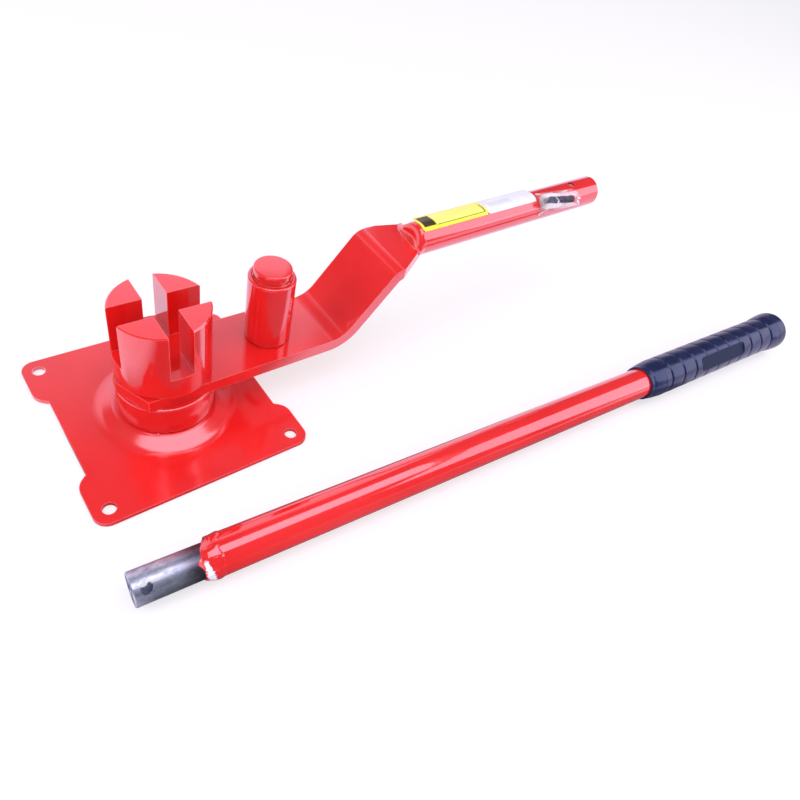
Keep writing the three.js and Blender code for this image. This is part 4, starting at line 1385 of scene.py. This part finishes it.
def white_floor():
    material, tree = fresh("white_floor")
    path = add(tree, "ShaderNodeLightPath").outputs
    seen = sums(tree, "MAXIMUM", path["Is Camera Ray"], path["Is Transmission Ray"])
    seen = sums(tree, "MAXIMUM", seen, times(tree, path["Is Glossy Ray"], bright_in_mirrors(tree)))
    matt = add(tree, "ShaderNodeBsdfDiffuse", {"Color": FLOOR_WHITE})
    dark = add(tree, "ShaderNodeEmission", {"Color": FLOOR_DARK, "Strength": 1.0})
    sheet = blended(tree, path["Is Glossy Ray"], matt, dark)
    tint = mixed(tree, path["Is Glossy Ray"], (1, 1, 1, 1), DAYLIGHT)
    glow = add(tree, "ShaderNodeEmission", {"Color": tint, "Strength": 1.0})
    share = one_minus(tree, times(tree, path["Is Camera Ray"], SHADOW_SHARE))
    finish_with(tree, blended(tree, times(tree, seen, share), sheet, glow))
    return material


def studio_floor():
    corners = [(x * FLOOR_HALF, y * FLOOR_HALF, 0) for x, y in ((-1, -1), (1, -1), (1, 1), (-1, 1))]
    mesh = bpy.data.meshes.new("studio_floor")
    mesh.from_pydata(corners, [], [(0, 1, 2, 3)])
    floor = placed("studio_floor", mesh, white_floor())
    floor.location.z = -FLOOR_DEPTH
    return floor

floor = studio_floor()
print("the floor lies at", round(floor.location.z * 1000, 1), "mm")

# %% [markdown]
# ## The background and what the enamel mirrors
# The camera sees plain white, which leaves the light on the object alone. Reflections see a dim room with
# two bright places: a wall behind the object, with a level top and a right end that leans, and a low horizon
# on every side but the front. Both come from the ray's own direction, whose three parts tell how far it
# points right, back and up. Each edge fades over the span between two named values.

# %% World
WALL_TOP = (0.80, 0.62)
WALL_RIGHT, WALL_RIGHT_SLANT = (0.12, 0.18), 0.9
WALL_LEFT = (-0.42, -0.34)
HORIZON_TOP = (0.24, 0.10)
HORIZON_GAP = (0.52, 0.38)
DIM_ROOM = (0.12, 0.11, 0.14, 1)
SOFT_SKY = (0.62, 0.62, 0.68, 1)
PLAIN_WHITE = (1, 1, 1, 1)


def mirrored_room(tree):
    direction = add(tree, "ShaderNodeTexCoord").outputs["Generated"]
    parts = parted(tree, direction)
    low = remap(tree, parts["Z"], *WALL_TOP)
    slanted = sums(tree, "SUBTRACT", parts["Y"], times(tree, parts["X"], WALL_RIGHT_SLANT))
    ends = times(tree, remap(tree, slanted, *WALL_RIGHT), remap(tree, parts["X"], *WALL_LEFT))
    aside = remap(tree, between(tree, "DOT_PRODUCT", direction, TO_FRONT), *HORIZON_GAP)
    horizon = times(tree, remap(tree, parts["Z"], *HORIZON_TOP), aside)
    bright = sums(tree, "MAXIMUM", times(tree, low, ends), horizon)
    return mixed(tree, bright, DIM_ROOM, DAYLIGHT)


def background(tree, colour):
    return add(tree, "ShaderNodeBackground", {"Color": colour, "Strength": 1.0})


def studio_world():
    world = bpy.data.worlds.new("studio_world")
    bpy.context.scene.world = world
    world.use_nodes = True
    tree = world.node_tree
    tree.nodes.clear()
    path = add(tree, "ShaderNodeLightPath").outputs
    room = background(tree, mirrored_room(tree))
    lit = blended(tree, path["Is Glossy Ray"], background(tree, SOFT_SKY), room)
    seen = sums(tree, "MAXIMUM", path["Is Camera Ray"], path["Is Transmission Ray"])
    last = blended(tree, seen, lit, background(tree, PLAIN_WHITE))
    add(tree, "ShaderNodeOutputWorld", {"Surface": last.outputs[0]})
    return world

print("the background is", studio_world().name)

# %% [markdown]
# ## The lamps
# One large lamp overhead gives the flat faces their pale even shine, and a smaller one stands like a window
# beyond the lever, to light its side and its tube. Two fills lift the shaded sides. They are left out of
# reflections, because a bright square in the enamel would give them away.

# %% Lamps
def soft_lamp(name, place, aim, size, watts, colour=(1, 1, 1), mirrored=True):
    lamp = bpy.data.lights.new(name, "AREA")
    lamp.shape = "RECTANGLE"
    lamp.size, lamp.size_y = size
    lamp.energy = watts
    lamp.color = colour
    obj = in_scene(name, lamp)
    toward = (Vector(aim) - Vector(place)).normalized()
    side = toward.cross(Vector((0, 1, 0))).normalized()
    obj.matrix_world = axes_at(place, side, side.cross(toward), -toward)
    obj.visible_glossy = mirrored
    return obj

lamps = [
    soft_lamp("overhead", (0.2, -0.86, 4.0), (0.2, -0.86, 0), (4.4, 2.6), 81, DAYLIGHT[:3]),
    soft_lamp("window", (1.7, -1.1, 1.1), (0.45, -0.2, 0), (1.6, 1.5), 14, DAYLIGHT[:3]),
    soft_lamp("front_fill", (-0.6, -1.6, 1.2), (0.2, 0, 0), (1.5, 1.5), 7, mirrored=False),
    soft_lamp("left_fill", (-1.5, 0.25, 1.2), (0.15, 0, 0.08), (1.4, 1.0), 14, mirrored=False),
]
print("lamps:", [lamp.name for lamp in lamps])

# %% [markdown]
# ## Finish
# The plain view transform shows each colour about as it was written, which makes the looks easy to compare.

# %% Finish
bpy.context.scene.view_settings.view_transform = "Standard"
